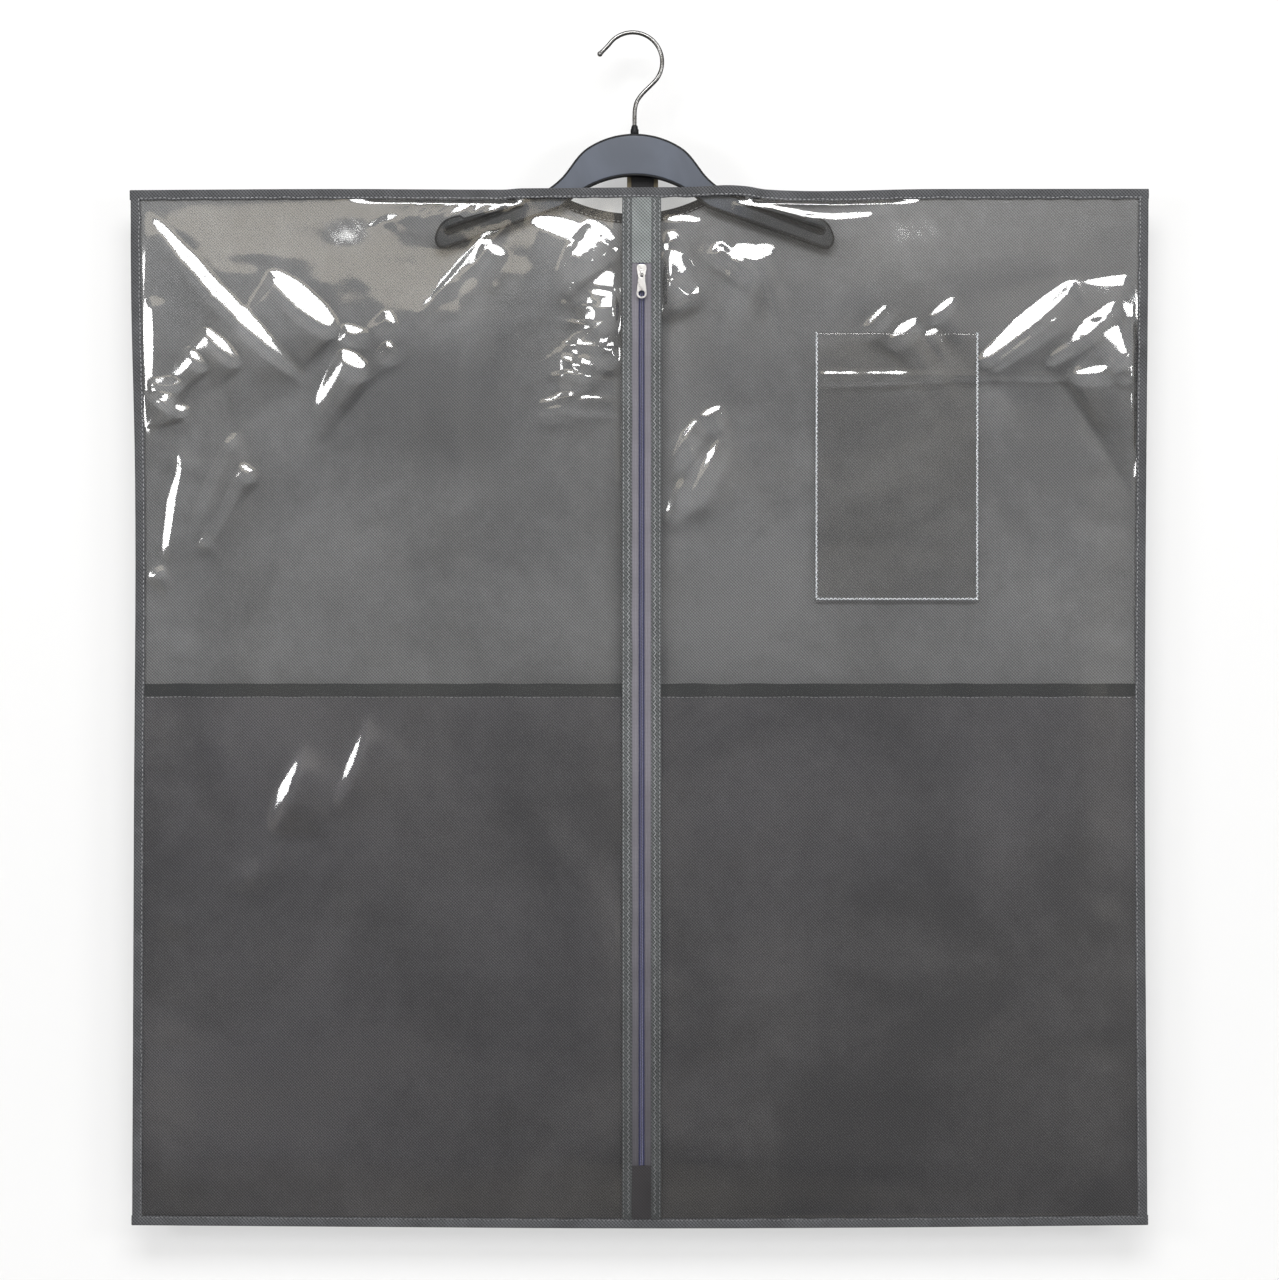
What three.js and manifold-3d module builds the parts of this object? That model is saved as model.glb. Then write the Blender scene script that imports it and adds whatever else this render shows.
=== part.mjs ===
// A garment bag on its hanger: a clear front over a nonwoven back, bound all round, with a
// centre zip, a window pocket and a black plastic hanger that swivels on a steel hook.
// Millimetres, +Z up, the front faces -Y. The origin is on the hook's swivel axis, at the
// inner top of the hook, where it sits on a rail.
import * as THREE from "three";
import { mergeVertices } from "three/addons/utils/BufferGeometryUtils.js";
import Module from "manifold-3d";

// ---------------------------------------------------------------- driving dimensions
const GAP = 0.3; // between pieces that touch

// the bag
const BAG_WIDTH = 1018;
const BAG_X = 5; // its middle hangs this far right of the hook
const BAG_TOP = -153;
const BAG_HEIGHT = 1041;
const BINDING = 10; // width of the bound edge
const BINDING_THICK = 4;
const SHELL = 7.8; // the front and back panels lie this far from the middle plane
const PANEL_THICK = 0.6;
const FILM_THICK = 0.4;
const EDGE_RAMP = 40; // the panels come together over this far at the sides and bottom
const TOP_RAMP = 8; // and over this far at the top
const POCKET_TOP = -649; // top hem of the inner panels

// the neck opening
const NECK_HALF = 112;
const NECK_CLOSE = 20; // front and back edges come together over this far
const SCOOP_HALF = 84; // half the width of the dip in the back edge
const NECK_DIP = 24; // and its depth at the middle
const NECK_FRONT_Y = [-10.8, -7]; // the front edge's binding, where it stands away
const NECK_BACK_Y = [7.5, 8.9];

// the zip and its placket
const ZIP_X = 7;
const ZIP_TOP = -229.4;
const ZIP_LENGTH = 900;
const CHAIN_GAP = 1; // between the two rows of teeth
const TEETH_WIDTH = 2.9;
const TAPE_WIDTH = 13;
const PLACKET_WIDTH = 39.4;
const TAB_WIDTH = 19.4; // the plain cloth above and below the zip
const STRIP_Y = [-10, -9.2];
const TEETH_Y = [-10.7, -9.2];
const TAPE_Y = [-8.9, -8.3];

// the slider and its pull
const SLIDER_TOP = ZIP_TOP - 1.6;
const SLIDER_SIZE = [9.8, 11.4];
const SLIDER_FRONT = [-12.4, -11.2];
const SLIDER_BACK = [-7.9, -6.9];
const BAIL_SIZE = [5, 3]; // height and how far it stands out
const BAIL_WIDTH = 1.6;
const BAIL_WALL = 1;
const PULL_LENGTH = 26;
const PULL_THICK = 1.1;
const PULL_HOLE = 3.2;

// the window pocket
const ID_POCKET = { left: 180.4, right: 343.4, top: -298.4, bottom: -565.4 };
const SEAM_WIDTH = 2;

// the hanger
const HANGER_THICK = 10;
const CROWN_TOP = -99.7;
const CROWN_RADIUS = 86;
const CROWN_HALF = 46; // where the crown's round top runs into its shoulders
const CROWN_HEIGHT = 42.1;
const ARCH_RADIUS = 98;
const ARCH_HALF = 62;

// the hook
const WIRE_RADIUS = 2.1;
const HOOK_RADIUS = 29.5; // to the middle of the wire
const HOOK_CENTRE = new THREE.Vector2(-1.9, WIRE_RADIUS - HOOK_RADIUS);
const TIP_RADIUS = 2.7;
const STEM_END = -126;
const COLLAR_TOP = -91;
const COLLAR_RADIUS = 4;

// what follows from them
const BAG_LEFT = BAG_X - BAG_WIDTH / 2;
const BAG_RIGHT = BAG_X + BAG_WIDTH / 2;
const BAG_BOTTOM = BAG_TOP - BAG_HEIGHT;
const PANEL_LEFT = BAG_LEFT + BINDING + GAP;
const PANEL_RIGHT = BAG_RIGHT - BINDING - GAP;
const PANEL_TOP = BAG_TOP - BINDING - GAP;
const PANEL_BOTTOM = BAG_BOTTOM + BINDING + GAP;
const ZIP_BOTTOM = ZIP_TOP - ZIP_LENGTH;
const BAIL_MIDDLE = SLIDER_TOP - 8.5;
const BAIL_AXIS_Y = SLIDER_FRONT[0] - (BAIL_SIZE[1] - BAIL_WALL) / 2;

// ---------------------------------------------------------------- materials
const finish = (color, roughness, metalness = 0, opacity = 1) =>
  new THREE.MeshStandardMaterial({
    color, roughness, metalness, opacity, transparent: opacity < 1, flatShading: true,
  });
const steel = finish(0x8d8a84, 0.3, 1);
const nickel = finish(0xd4d4d2, 0.22, 1);
const blackPlastic = finish(0x2b2d30, 0.45);
const backCloth = finish(0x74746f, 0.9);
const bindingCloth = finish(0x5d5f5e, 0.9);
const pocketCloth = finish(0x555658, 0.9);
const placketCloth = finish(0x737a7a, 0.9);
const clearFilm = finish(0xdfe2e0, 0.08, 0, 0.35);
const tapeCloth = finish(0x8b8794, 0.85);
const coilNylon = finish(0x3d3f58, 0.5);
const thread = finish(0xd8dade, 0.7);
const blackWebbing = finish(0x1f1f21, 0.85);
const taupeWebbing = finish(0x6d6552, 0.9);

const group = new THREE.Group();

function piece(name, geometry, material) {
  const mesh = new THREE.Mesh(geometry, material);
  mesh.name = name;
  group.add(mesh);
  return mesh;
}

// ---------------------------------------------------------------- shape helpers
const wasm = await Module();
wasm.setup();

function solid(geometry) {
  const bare = geometry.clone();
  bare.deleteAttribute("normal");
  bare.deleteAttribute("uv");
  const merged = mergeVertices(bare, 1e-4);
  const corners = merged.index.array;
  const faces = [];
  for (let n = 0; n < corners.length; n += 3) {
    const [a, b, c] = corners.slice(n, n + 3);
    if (a !== b && b !== c && c !== a) faces.push(a, b, c); // a lathe's pole has flat faces
  }
  return new wasm.Manifold(new wasm.Mesh({
    numProp: 3,
    vertProperties: new Float32Array(merged.attributes.position.array),
    triVerts: new Uint32Array(faces),
  }));
}

function geometryOf(manifold) {
  const mesh = manifold.getMesh();
  const geometry = new THREE.BufferGeometry();
  geometry.setAttribute("position", new THREE.BufferAttribute(mesh.vertProperties, 3));
  geometry.setIndex(new THREE.BufferAttribute(mesh.triVerts, 1));
  geometry.computeVertexNormals();
  return geometry;
}

const joined = (...parts) => geometryOf(parts.map(solid).reduce((sum, next) => sum.add(next)));

// A rectangular block between two values on each axis.
function block([x0, x1], [y0, y1], [z0, z1]) {
  const box = new THREE.BoxGeometry(Math.abs(x1 - x0), Math.abs(y1 - y0), Math.abs(z1 - z0));
  return box.translate((x0 + x1) / 2, (y0 + y1) / 2, (z0 + z1) / 2);
}

// An outline drawn in X and Z, made into a plate between two Y values.
function plate(shape, [y0, y1], bevel = 0, curveSegments = 8) {
  const geometry = new THREE.ExtrudeGeometry(shape, {
    depth: y1 - y0 - 2 * bevel,
    curveSegments,
    bevelEnabled: bevel > 0,
    bevelThickness: bevel,
    bevelSize: bevel,
    bevelOffset: -bevel,
    bevelSegments: 2,
  });
  return geometry.translate(0, 0, bevel - y1).rotateX(Math.PI / 2);
}

// A body of revolution about Z; its outline is [radius, z] pairs.
function turned(outline, sides = 16, x = 0) {
  const points = outline.map(([r, z]) => new THREE.Vector2(r, z));
  return new THREE.LatheGeometry(points, sides).rotateX(Math.PI / 2).translate(x, 0, 0);
}

// A thin sheet on a grid: xs across, levels(x) down each column, and a front and back Y.
function sheet(xs, levels, front, back) {
  const rows = levels(xs[0]).length;
  const position = [];
  const index = [];
  for (const side of [front, back]) {
    for (const x of xs) {
      for (const z of levels(x)) position.push(x, side(x, z), z);
    }
  }
  const at = (side, i, j) => (side * xs.length + i) * rows + j;
  for (let i = 0; i + 1 < xs.length; i++) {
    for (let j = 0; j + 1 < rows; j++) {
      const corners = [[i, j], [i, j + 1], [i + 1, j + 1], [i + 1, j]];
      const [a, b, c, d] = corners.map(([p, q]) => at(0, p, q));
      const [e, f, g, h] = corners.map(([p, q]) => at(1, p, q));
      index.push(a, c, b, a, d, c, e, f, g, e, g, h);
    }
  }
  const rim = [];
  for (let i = 0; i + 1 < xs.length; i++) rim.push([i, 0]);
  for (let j = 0; j + 1 < rows; j++) rim.push([xs.length - 1, j]);
  for (let i = xs.length - 1; i > 0; i--) rim.push([i, rows - 1]);
  for (let j = rows - 1; j > 0; j--) rim.push([0, j]);
  rim.forEach(([i, j], n) => {
    const [k, l] = rim[(n + 1) % rim.length];
    index.push(at(0, i, j), at(1, i, j), at(1, k, l), at(0, i, j), at(1, k, l), at(0, k, l));
  });
  const geometry = new THREE.BufferGeometry();
  geometry.setAttribute("position", new THREE.Float32BufferAttribute(position, 3));
  geometry.setIndex(index);
  geometry.computeVertexNormals();
  return geometry;
}

// ---------------------------------------------------------------- the hook
function hookCurve() {
  const points = [];
  const add = (x, z) => points.push(new THREE.Vector3(x, 0, z));
  add(-34.6, -19.4); // the flared tip
  add(-30.6, -15.3);
  const onArc = (degrees) => {
    const a = THREE.MathUtils.degToRad(degrees);
    add(HOOK_CENTRE.x + HOOK_RADIUS * Math.cos(a), HOOK_CENTRE.y + HOOK_RADIUS * Math.sin(a));
  };
  for (let degrees = 146; degrees >= -50; degrees -= 14) onArc(degrees);
  add(8.2, -58.8); // the reverse bend into the stem
  add(2.6, -66.5);
  add(0.5, -74);
  for (const z of [-82, -92, -104, -115, STEM_END]) add(0, z);
  return new THREE.CatmullRomCurve3(points, false, "centripetal");
}

function addHook() {
  const path = hookCurve();
  const section = new THREE.Shape().absarc(0, 0, WIRE_RADIUS, 0, 2 * Math.PI);
  const wire = new THREE.ExtrudeGeometry(section, {
    steps: 72, curveSegments: 5, extrudePath: path, bevelEnabled: false,
  });
  piece("hook_wire", wire, steel);

  const tip = path.getPoint(0).sub(path.getTangent(0).multiplyScalar(TIP_RADIUS + GAP));
  const ball = new THREE.SphereGeometry(TIP_RADIUS, 12, 8).translate(tip.x, tip.y, tip.z);
  piece("hook_tip_cap", ball, steel);

  const inner = WIRE_RADIUS + GAP;
  const ring = [[inner, STEM_END + 0.5], [3.6, STEM_END + 0.5], [3.6, STEM_END + 3.5],
    [inner, STEM_END + 3.5], [inner, STEM_END + 0.5]];
  piece("hook_stem_retainer", turned(ring, 14), steel);
}

// ---------------------------------------------------------------- the hanger
function hangerOutline() {
  const shape = new THREE.Shape();
  const crownMiddle = CROWN_TOP - CROWN_RADIUS;
  const archMiddle = CROWN_TOP - CROWN_HEIGHT - ARCH_RADIUS;
  const crownEnd = Math.acos(CROWN_HALF / CROWN_RADIUS);
  const archEnd = Math.acos(ARCH_HALF / ARCH_RADIUS);
  shape.absarc(0, crownMiddle, CROWN_RADIUS, Math.PI - crownEnd, crownEnd, true);
  arm(shape, 1);
  shape.absarc(0, archMiddle, ARCH_RADIUS, archEnd, Math.PI - archEnd, false);
  arm(shape, -1);
  for (const side of [1, -1]) shape.holes.push(slot(side));
  return shape;
}

// One arm's outline, drawn outward along its top on the right and inward on the left.
function arm(shape, side) {
  const start = [CROWN_HALF, CROWN_TOP - CROWN_RADIUS + Math.sqrt(CROWN_RADIUS ** 2 - CROWN_HALF ** 2)];
  const archFoot = [ARCH_HALF,
    CROWN_TOP - CROWN_HEIGHT - ARCH_RADIUS + Math.sqrt(ARCH_RADIUS ** 2 - ARCH_HALF ** 2)];
  const steps = [
    ["bezierCurveTo", 58, -120.6, 64, -134, 72, -142.6], // shoulder
    ["bezierCurveTo", 80, -151.2, 93, -160, 106, -164.5], // to the start of the strap notch
    ["lineTo", 108, -166.4],
    ["lineTo", 170, -183.4],
    ["quadraticCurveTo", 172.5, -181.6, 174.5, -181], // end of the notch
    ["bezierCurveTo", 186, -182.5, 198, -190, 199.8, -204], // the round tip
    ["bezierCurveTo", 200.2, -211, 195.5, -215.2, 188, -213.8],
    ["lineTo", 74, -173.4],
    ["quadraticCurveTo", 71, -171.4, ...archFoot], // fillet into the arch
  ];
  if (side > 0) {
    for (const [kind, ...numbers] of steps) shape[kind](...numbers);
    return;
  }
  // the same points in the other order, mirrored
  const flat = [start, ...steps.map(([, ...numbers]) => numbers.slice(-2))];
  for (let n = steps.length - 1; n >= 0; n--) {
    const [kind, ...numbers] = steps[n];
    const controls = [];
    for (let k = 0; k < numbers.length - 2; k += 2) controls.unshift(-numbers[k], numbers[k + 1]);
    shape[kind](...controls, -flat[n][0], flat[n][1]);
  }
}

// The strap slot: a long wedge, 2 mm wide near the crown and 5.2 mm at its round outer end.
function slot(side) {
  const [inner, outer] = [[114, -171.2, 1], [186, -196.9, 2.6]];
  const slope = Math.atan2(outer[1] - inner[1], outer[0] - inner[0]);
  const hole = new THREE.Path();
  const turn = Math.PI / 2;
  const points = [];
  const arc = ([x, z, r], from) => {
    for (let n = 0; n <= 6; n++) {
      const a = from - (n / 6) * Math.PI;
      points.push([side * (x + r * Math.cos(a)), z + r * Math.sin(a)]);
    }
  };
  arc(outer, slope + turn);
  arc(inner, slope - turn);
  if (side > 0) points.reverse(); // both slots run the same way round
  points.forEach(([x, z], n) => (n ? hole.lineTo(x, z) : hole.moveTo(x, z)));
  return hole;
}

function addHanger() {
  const half = HANGER_THICK / 2;
  const body = plate(hangerOutline(), [-half, half], 0, 7);
  const bore = WIRE_RADIUS + GAP;
  const chamber = [[0, STEM_END - 2], [4.1, STEM_END - 2], [4.1, STEM_END + 4.5],
    [bore, STEM_END + 4.5], [bore, CROWN_TOP + 5], [0, CROWN_TOP + 5]];
  const cut = solid(body).subtract(solid(turned(chamber, 14)));
  piece("hanger_body", geometryOf(cut), blackPlastic);

  const low = CROWN_TOP + GAP;
  const collar = [[bore, low], [COLLAR_RADIUS, low], [COLLAR_RADIUS, low + 5],
    [COLLAR_RADIUS - 1.2, COLLAR_TOP], [bore, COLLAR_TOP], [bore, low]];
  piece("hanger_collar", turned(collar, 16), blackPlastic);
}

// ---------------------------------------------------------------- the bag's shell
const clamp01 = (t) => Math.min(1, Math.max(0, t));

// 1 inside the neck opening, 0 where front and back are sewn together.
const neck = (x) => clamp01((NECK_HALF + NECK_CLOSE - Math.abs(x)) / NECK_CLOSE);

// How far the panels stand apart: 0 at the bound edge, 1 over most of the bag.
function spread(x, z) {
  const side = Math.min(x - PANEL_LEFT, PANEL_RIGHT - x) / EDGE_RAMP;
  const bottom = (z - PANEL_BOTTOM) / EDGE_RAMP;
  const top = Math.max((PANEL_TOP - z) / TOP_RAMP, neck(x));
  return clamp01(Math.min(side, bottom, top));
}

const layer = (edge, middle) => (x, z) => edge + (middle - edge) * spread(x, z);
const FILM_EDGE_Y = -1.4; // where each layer lies between the bound edges
const LINING_EDGE_Y = -0.5;
const BACK_EDGE_Y = 1;
const LINING_GAP = 0.9; // the inner panels lie this far behind the film
const film = layer(FILM_EDGE_Y, -SHELL);
const lining = layer(LINING_EDGE_Y, LINING_GAP - SHELL);
const backing = layer(BACK_EDGE_Y, SHELL);
const thickened = (middle, thick) =>
  [(x, z) => middle(x, z) - thick / 2, (x, z) => middle(x, z) + thick / 2];

// The back edge of the neck opening.
const neckline = (x) =>
  BAG_TOP - NECK_DIP * Math.max(0, 1 - (x / SCOOP_HALF) ** 2);

const bendsAt = [-NECK_HALF - NECK_CLOSE, -NECK_HALF, NECK_HALF, NECK_HALF + NECK_CLOSE];
const between = (low, high) => [low, ...bendsAt.filter((x) => x > low && x < high), high];
const inset = [PANEL_LEFT + EDGE_RAMP, PANEL_RIGHT - EDGE_RAMP];
const columns = (low, high) =>
  [...between(low, high), ...inset.filter((x) => x > low && x < high)].sort((a, b) => a - b);

function addShell() {
  const innerLeft = ZIP_X - PLACKET_WIDTH / 2 + 5;
  const innerRight = ZIP_X + PLACKET_WIDTH / 2 - 5;
  const full = [PANEL_BOTTOM, PANEL_BOTTOM + EDGE_RAMP, PANEL_TOP - TOP_RAMP, PANEL_TOP];
  const low = [PANEL_BOTTOM, PANEL_BOTTOM + EDGE_RAMP, POCKET_TOP];
  for (const [side, x0, x1] of [["left", PANEL_LEFT, innerLeft], ["right", innerRight, PANEL_RIGHT]]) {
    piece(`front_film_${side}`,
      sheet(columns(x0, x1), () => full, ...thickened(film, FILM_THICK)), clearFilm);
    piece(`pocket_panel_${side}`,
      sheet(columns(x0, x1), () => low, ...thickened(lining, PANEL_THICK)), pocketCloth);
  }

  const curve = [-90, -75, -60, -45, -30, -15, 0, 15, 30, 45, 60, 75, 90];
  const xs = [...columns(PANEL_LEFT, PANEL_RIGHT), ...curve].sort((a, b) => a - b);
  const backTop = (x) => neckline(x) - BINDING - GAP;
  const below = PANEL_TOP - NECK_DIP - 2 * TOP_RAMP;
  const levels = (x) =>
    [PANEL_BOTTOM, PANEL_BOTTOM + EDGE_RAMP, below, backTop(x) - TOP_RAMP, backTop(x)];
  piece("back_panel", sheet(xs, levels, ...thickened(backing, PANEL_THICK)), backCloth);

  const scoop = [-NECK_HALF + 1, ...curve, NECK_HALF - 1];
  piece("back_neck_binding",
    sheet(scoop, (x) => [neckline(x) - BINDING, neckline(x)], ...NECK_BACK_Y.map((y) => () => y)),
    bindingCloth);
}

function addBindings() {
  const half = BINDING_THICK / 2;
  const front = (x) => -half + (NECK_FRONT_Y[0] + half) * neck(x);
  const back = (x) => half + (NECK_FRONT_Y[1] - half) * neck(x);
  const top = sheet(between(BAG_LEFT, BAG_RIGHT), () => [BAG_TOP - BINDING, BAG_TOP], front, back);
  piece("top_binding", top, bindingCloth);
  piece("bottom_binding",
    block([BAG_LEFT, BAG_RIGHT], [-half, half], [BAG_BOTTOM, BAG_BOTTOM + BINDING]), bindingCloth);
  const sides = { left: [BAG_LEFT, BAG_LEFT + BINDING], right: [BAG_RIGHT - BINDING, BAG_RIGHT] };
  for (const [side, x] of Object.entries(sides)) {
    piece(`${side}_binding`, block(x, [-half, half], [PANEL_BOTTOM, PANEL_TOP]), bindingCloth);
  }
}

// ---------------------------------------------------------------- the placket and zip
// At its foot the placket follows the film down to the bound edge.
const foot = (z) => (SHELL + FILM_EDGE_Y) * (1 - clamp01((z - PANEL_BOTTOM) / EDGE_RAMP));

function ribbon([x0, x1], [y0, y1], [z0, z1]) {
  const bend = PANEL_BOTTOM + EDGE_RAMP;
  const zs = z0 < bend && z1 > bend ? [z0, bend, z1] : [z0, z1];
  return sheet([x0, x1], () => zs, (x, z) => y0 + foot(z), (x, z) => y1 + foot(z));
}

function addPlacket() {
  const edge = PLACKET_WIDTH / 2;
  const inner = TAB_WIDTH / 2 + GAP;
  const height = [PANEL_BOTTOM, PANEL_TOP];
  const tab = [ZIP_X - TAB_WIDTH / 2, ZIP_X + TAB_WIDTH / 2];
  piece("placket_strip_left", ribbon([ZIP_X - edge, ZIP_X - inner], STRIP_Y, height), placketCloth);
  piece("placket_strip_right", ribbon([ZIP_X + inner, ZIP_X + edge], STRIP_Y, height), placketCloth);
  piece("placket_top_tab", ribbon(tab, STRIP_Y, [ZIP_TOP, PANEL_TOP]), placketCloth);
  piece("placket_bottom_tab", ribbon(tab, STRIP_Y, [PANEL_BOTTOM, ZIP_BOTTOM]), placketCloth);
}

function addZip() {
  const sides = [["left", -1], ["right", 1]];
  const chain = [ZIP_BOTTOM + GAP, ZIP_TOP - GAP];
  for (const [name, side] of sides) {
    const across = (from, width) => {
      const x = [ZIP_X + side * from, ZIP_X + side * (from + width)];
      return x.sort((a, b) => a - b);
    };
    const tape = block(across(CHAIN_GAP / 2, TAPE_WIDTH), TAPE_Y, [ZIP_BOTTOM - 12, ZIP_TOP + 12]);
    piece(`zip_tape_${name}`, tape, tapeCloth);
    piece(`zip_coil_${name}`, block(across(CHAIN_GAP / 2, TEETH_WIDTH), TEETH_Y, chain), coilNylon);
  }
}

// A slider plate with broad shoulders and a narrower lower end.
function sliderOutline() {
  const [width, height] = SLIDER_SIZE;
  const low = SLIDER_TOP - height;
  const half = width / 2;
  const [shoulder, taper, foot, dip] = [2, 0.5, 1.6, 1.2];
  const corner = shoulder - 0.5;
  const shape = new THREE.Shape();
  shape.moveTo(ZIP_X - half + corner, SLIDER_TOP);
  shape.quadraticCurveTo(ZIP_X, SLIDER_TOP - dip, ZIP_X + half - corner, SLIDER_TOP);
  shape.quadraticCurveTo(ZIP_X + half, SLIDER_TOP, ZIP_X + half, SLIDER_TOP - shoulder);
  shape.lineTo(ZIP_X + half - taper, low + 1);
  shape.quadraticCurveTo(ZIP_X + half - taper, low, ZIP_X + half - foot, low);
  shape.lineTo(ZIP_X - half + foot, low);
  shape.quadraticCurveTo(ZIP_X - half + taper, low, ZIP_X - half + taper, low + 1);
  shape.lineTo(ZIP_X - half, SLIDER_TOP - shoulder);
  shape.quadraticCurveTo(ZIP_X - half, SLIDER_TOP, ZIP_X - half + corner, SLIDER_TOP);
  return shape;
}

// The bail: a low arch that the pull swings in, drawn from the side and given its width.
function bail() {
  const [height, stand] = BAIL_SIZE;
  const [top, low] = [BAIL_MIDDLE + height / 2, BAIL_MIDDLE - height / 2];
  const [root, out] = [SLIDER_FRONT[0] + 0.2, SLIDER_FRONT[0] - stand];
  const side = new THREE.Shape();
  side.moveTo(root, low);
  side.lineTo(root, low + BAIL_WALL);
  side.lineTo(out + BAIL_WALL, low + BAIL_WALL);
  side.lineTo(out + BAIL_WALL, top - BAIL_WALL);
  side.lineTo(root, top - BAIL_WALL);
  side.lineTo(root, top);
  side.lineTo(out + 1, top);
  side.quadraticCurveTo(out, top, out, top - 1);
  side.lineTo(out, low + 1);
  side.quadraticCurveTo(out, low, out + 1, low);
  const arch = new THREE.ExtrudeGeometry(side, {
    depth: BAIL_WIDTH, curveSegments: 3, bevelEnabled: false,
  });
  const [right, back, up] = [[1, 0, 0], [0, 1, 0], [0, 0, 1]].map((v) => new THREE.Vector3(...v));
  arch.applyMatrix4(new THREE.Matrix4().makeBasis(back, up, right)); // drawn in (Y, Z)
  return arch.translate(ZIP_X - BAIL_WIDTH / 2, 0, 0);
}

function addSlider() {
  const [width, height] = SLIDER_SIZE;
  const low = SLIDER_TOP - height;
  const [edge, lap] = [0.3, 0.1];
  const [wall, inset, webHalf] = [0.9, 0.6, 0.2];
  const front = SLIDER_FRONT[1] - lap;
  const flanges = [-1, 1].map((side) => {
    const outer = ZIP_X + side * (width / 2 - inset);
    const x = [outer, outer - side * wall].sort((a, b) => a - b);
    return block(x, [front, TAPE_Y[0] - 0.4], [low + 1.5, SLIDER_TOP - 2.2]);
  });
  const web = block([ZIP_X - webHalf, ZIP_X + webHalf], [front, SLIDER_BACK[0] + lap],
    [low + 2, SLIDER_TOP - 2.5]);
  const plates = [SLIDER_FRONT, SLIDER_BACK].map((y) => plate(sliderOutline(), y, edge, 4));
  piece("slider_body", joined(...plates, web, ...flanges, bail()), nickel);
}

// The pull hangs from the bail by a small window and ends in a broad ring.
function addPull() {
  const shape = new THREE.Shape();
  const top = BAIL_MIDDLE + 0.5;
  const bottom = BAIL_MIDDLE - PULL_LENGTH;
  const [neckHalf, endHalf] = [3.6, 5];
  shape.moveTo(ZIP_X - neckHalf + 1, top);
  shape.lineTo(ZIP_X + neckHalf - 1, top);
  shape.quadraticCurveTo(ZIP_X + neckHalf, top, ZIP_X + neckHalf, top - 1);
  shape.lineTo(ZIP_X + neckHalf, top - 9);
  shape.lineTo(ZIP_X + endHalf, bottom + endHalf);
  shape.absarc(ZIP_X, bottom + endHalf, endHalf, 0, Math.PI, true);
  shape.lineTo(ZIP_X - neckHalf, top - 9);
  shape.lineTo(ZIP_X - neckHalf, top - 1);
  shape.quadraticCurveTo(ZIP_X - neckHalf, top, ZIP_X - neckHalf + 1, top);
  const window = new THREE.Path();
  const [slitHalf, slitTop, slitLow] = [1.4, BAIL_MIDDLE - 0.5, BAIL_MIDDLE - 4.6];
  window.moveTo(ZIP_X - slitHalf, slitTop);
  window.lineTo(ZIP_X - slitHalf, slitLow);
  window.lineTo(ZIP_X + slitHalf, slitLow);
  window.lineTo(ZIP_X + slitHalf, slitTop);
  const hole = new THREE.Path().absarc(ZIP_X, bottom + endHalf, PULL_HOLE, 0, 2 * Math.PI, false);
  shape.holes.push(window, hole);
  const y = [BAIL_AXIS_Y - PULL_THICK / 2, BAIL_AXIS_Y + PULL_THICK / 2];
  piece("pull_tab", plate(shape, y, 0.2, 8), nickel);
}

// ---------------------------------------------------------------- small pieces on the bag
function addIdPocket() {
  const { left, right, top, bottom } = ID_POCKET;
  const face = -SHELL - FILM_THICK / 2;
  const filmY = [face - 0.8, face - 0.5];
  const seamY = [face - 1.5, face - 1.1];
  piece("id_pocket_film", block([left, right], filmY, [bottom, top]), clearFilm);
  piece("id_pocket_seam_left", block([left, left + SEAM_WIDTH], seamY, [bottom + 3, top]), thread);
  piece("id_pocket_seam_right", block([right - SEAM_WIDTH, right], seamY, [bottom + 3, top]), thread);
  piece("id_pocket_seam_bottom", block([left, right], seamY, [bottom, bottom + SEAM_WIDTH]), thread);
}

// A webbing tab on a wider tape, sewn to the back of the neck and standing behind the crown.
function addNeckTab() {
  const middle = ZIP_X + 1;
  const tape = (half) => [middle - half, middle + half];
  piece("neck_tab_webbing", block(tape(11.2), [5.6, 6.4], [-186, -118]), blackWebbing);
  piece("neck_tab_backing", block(tape(15.6), [6.7, 7.2], [-184, -122]), taupeWebbing);
}

addHook();
addHanger();
addShell();
addBindings();
addPlacket();
addZip();
addSlider();
addPull();
addIdPocket();
addNeckTab();

export default group;
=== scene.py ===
import math

import bmesh
import bpy
import numpy as np
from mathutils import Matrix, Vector


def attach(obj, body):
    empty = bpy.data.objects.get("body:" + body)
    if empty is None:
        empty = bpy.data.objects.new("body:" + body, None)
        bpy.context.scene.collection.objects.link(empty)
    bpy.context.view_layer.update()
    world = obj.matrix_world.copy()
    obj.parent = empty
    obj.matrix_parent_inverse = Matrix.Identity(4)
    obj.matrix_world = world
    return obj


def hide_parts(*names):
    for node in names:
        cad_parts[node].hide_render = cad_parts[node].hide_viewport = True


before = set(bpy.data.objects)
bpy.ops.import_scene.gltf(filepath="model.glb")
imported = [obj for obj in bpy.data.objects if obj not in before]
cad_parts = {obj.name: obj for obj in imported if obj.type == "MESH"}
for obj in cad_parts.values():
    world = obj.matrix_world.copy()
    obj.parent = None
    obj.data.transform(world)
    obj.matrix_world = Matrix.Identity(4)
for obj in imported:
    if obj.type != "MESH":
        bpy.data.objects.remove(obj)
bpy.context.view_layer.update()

# A clear-fronted garment bag on a swivel hanger. Lengths are in millimetres until a mesh is made.
# X is to the right, Y to the back and Z up, from the point where the hook rests on its rail.
MM = 0.001

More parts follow.
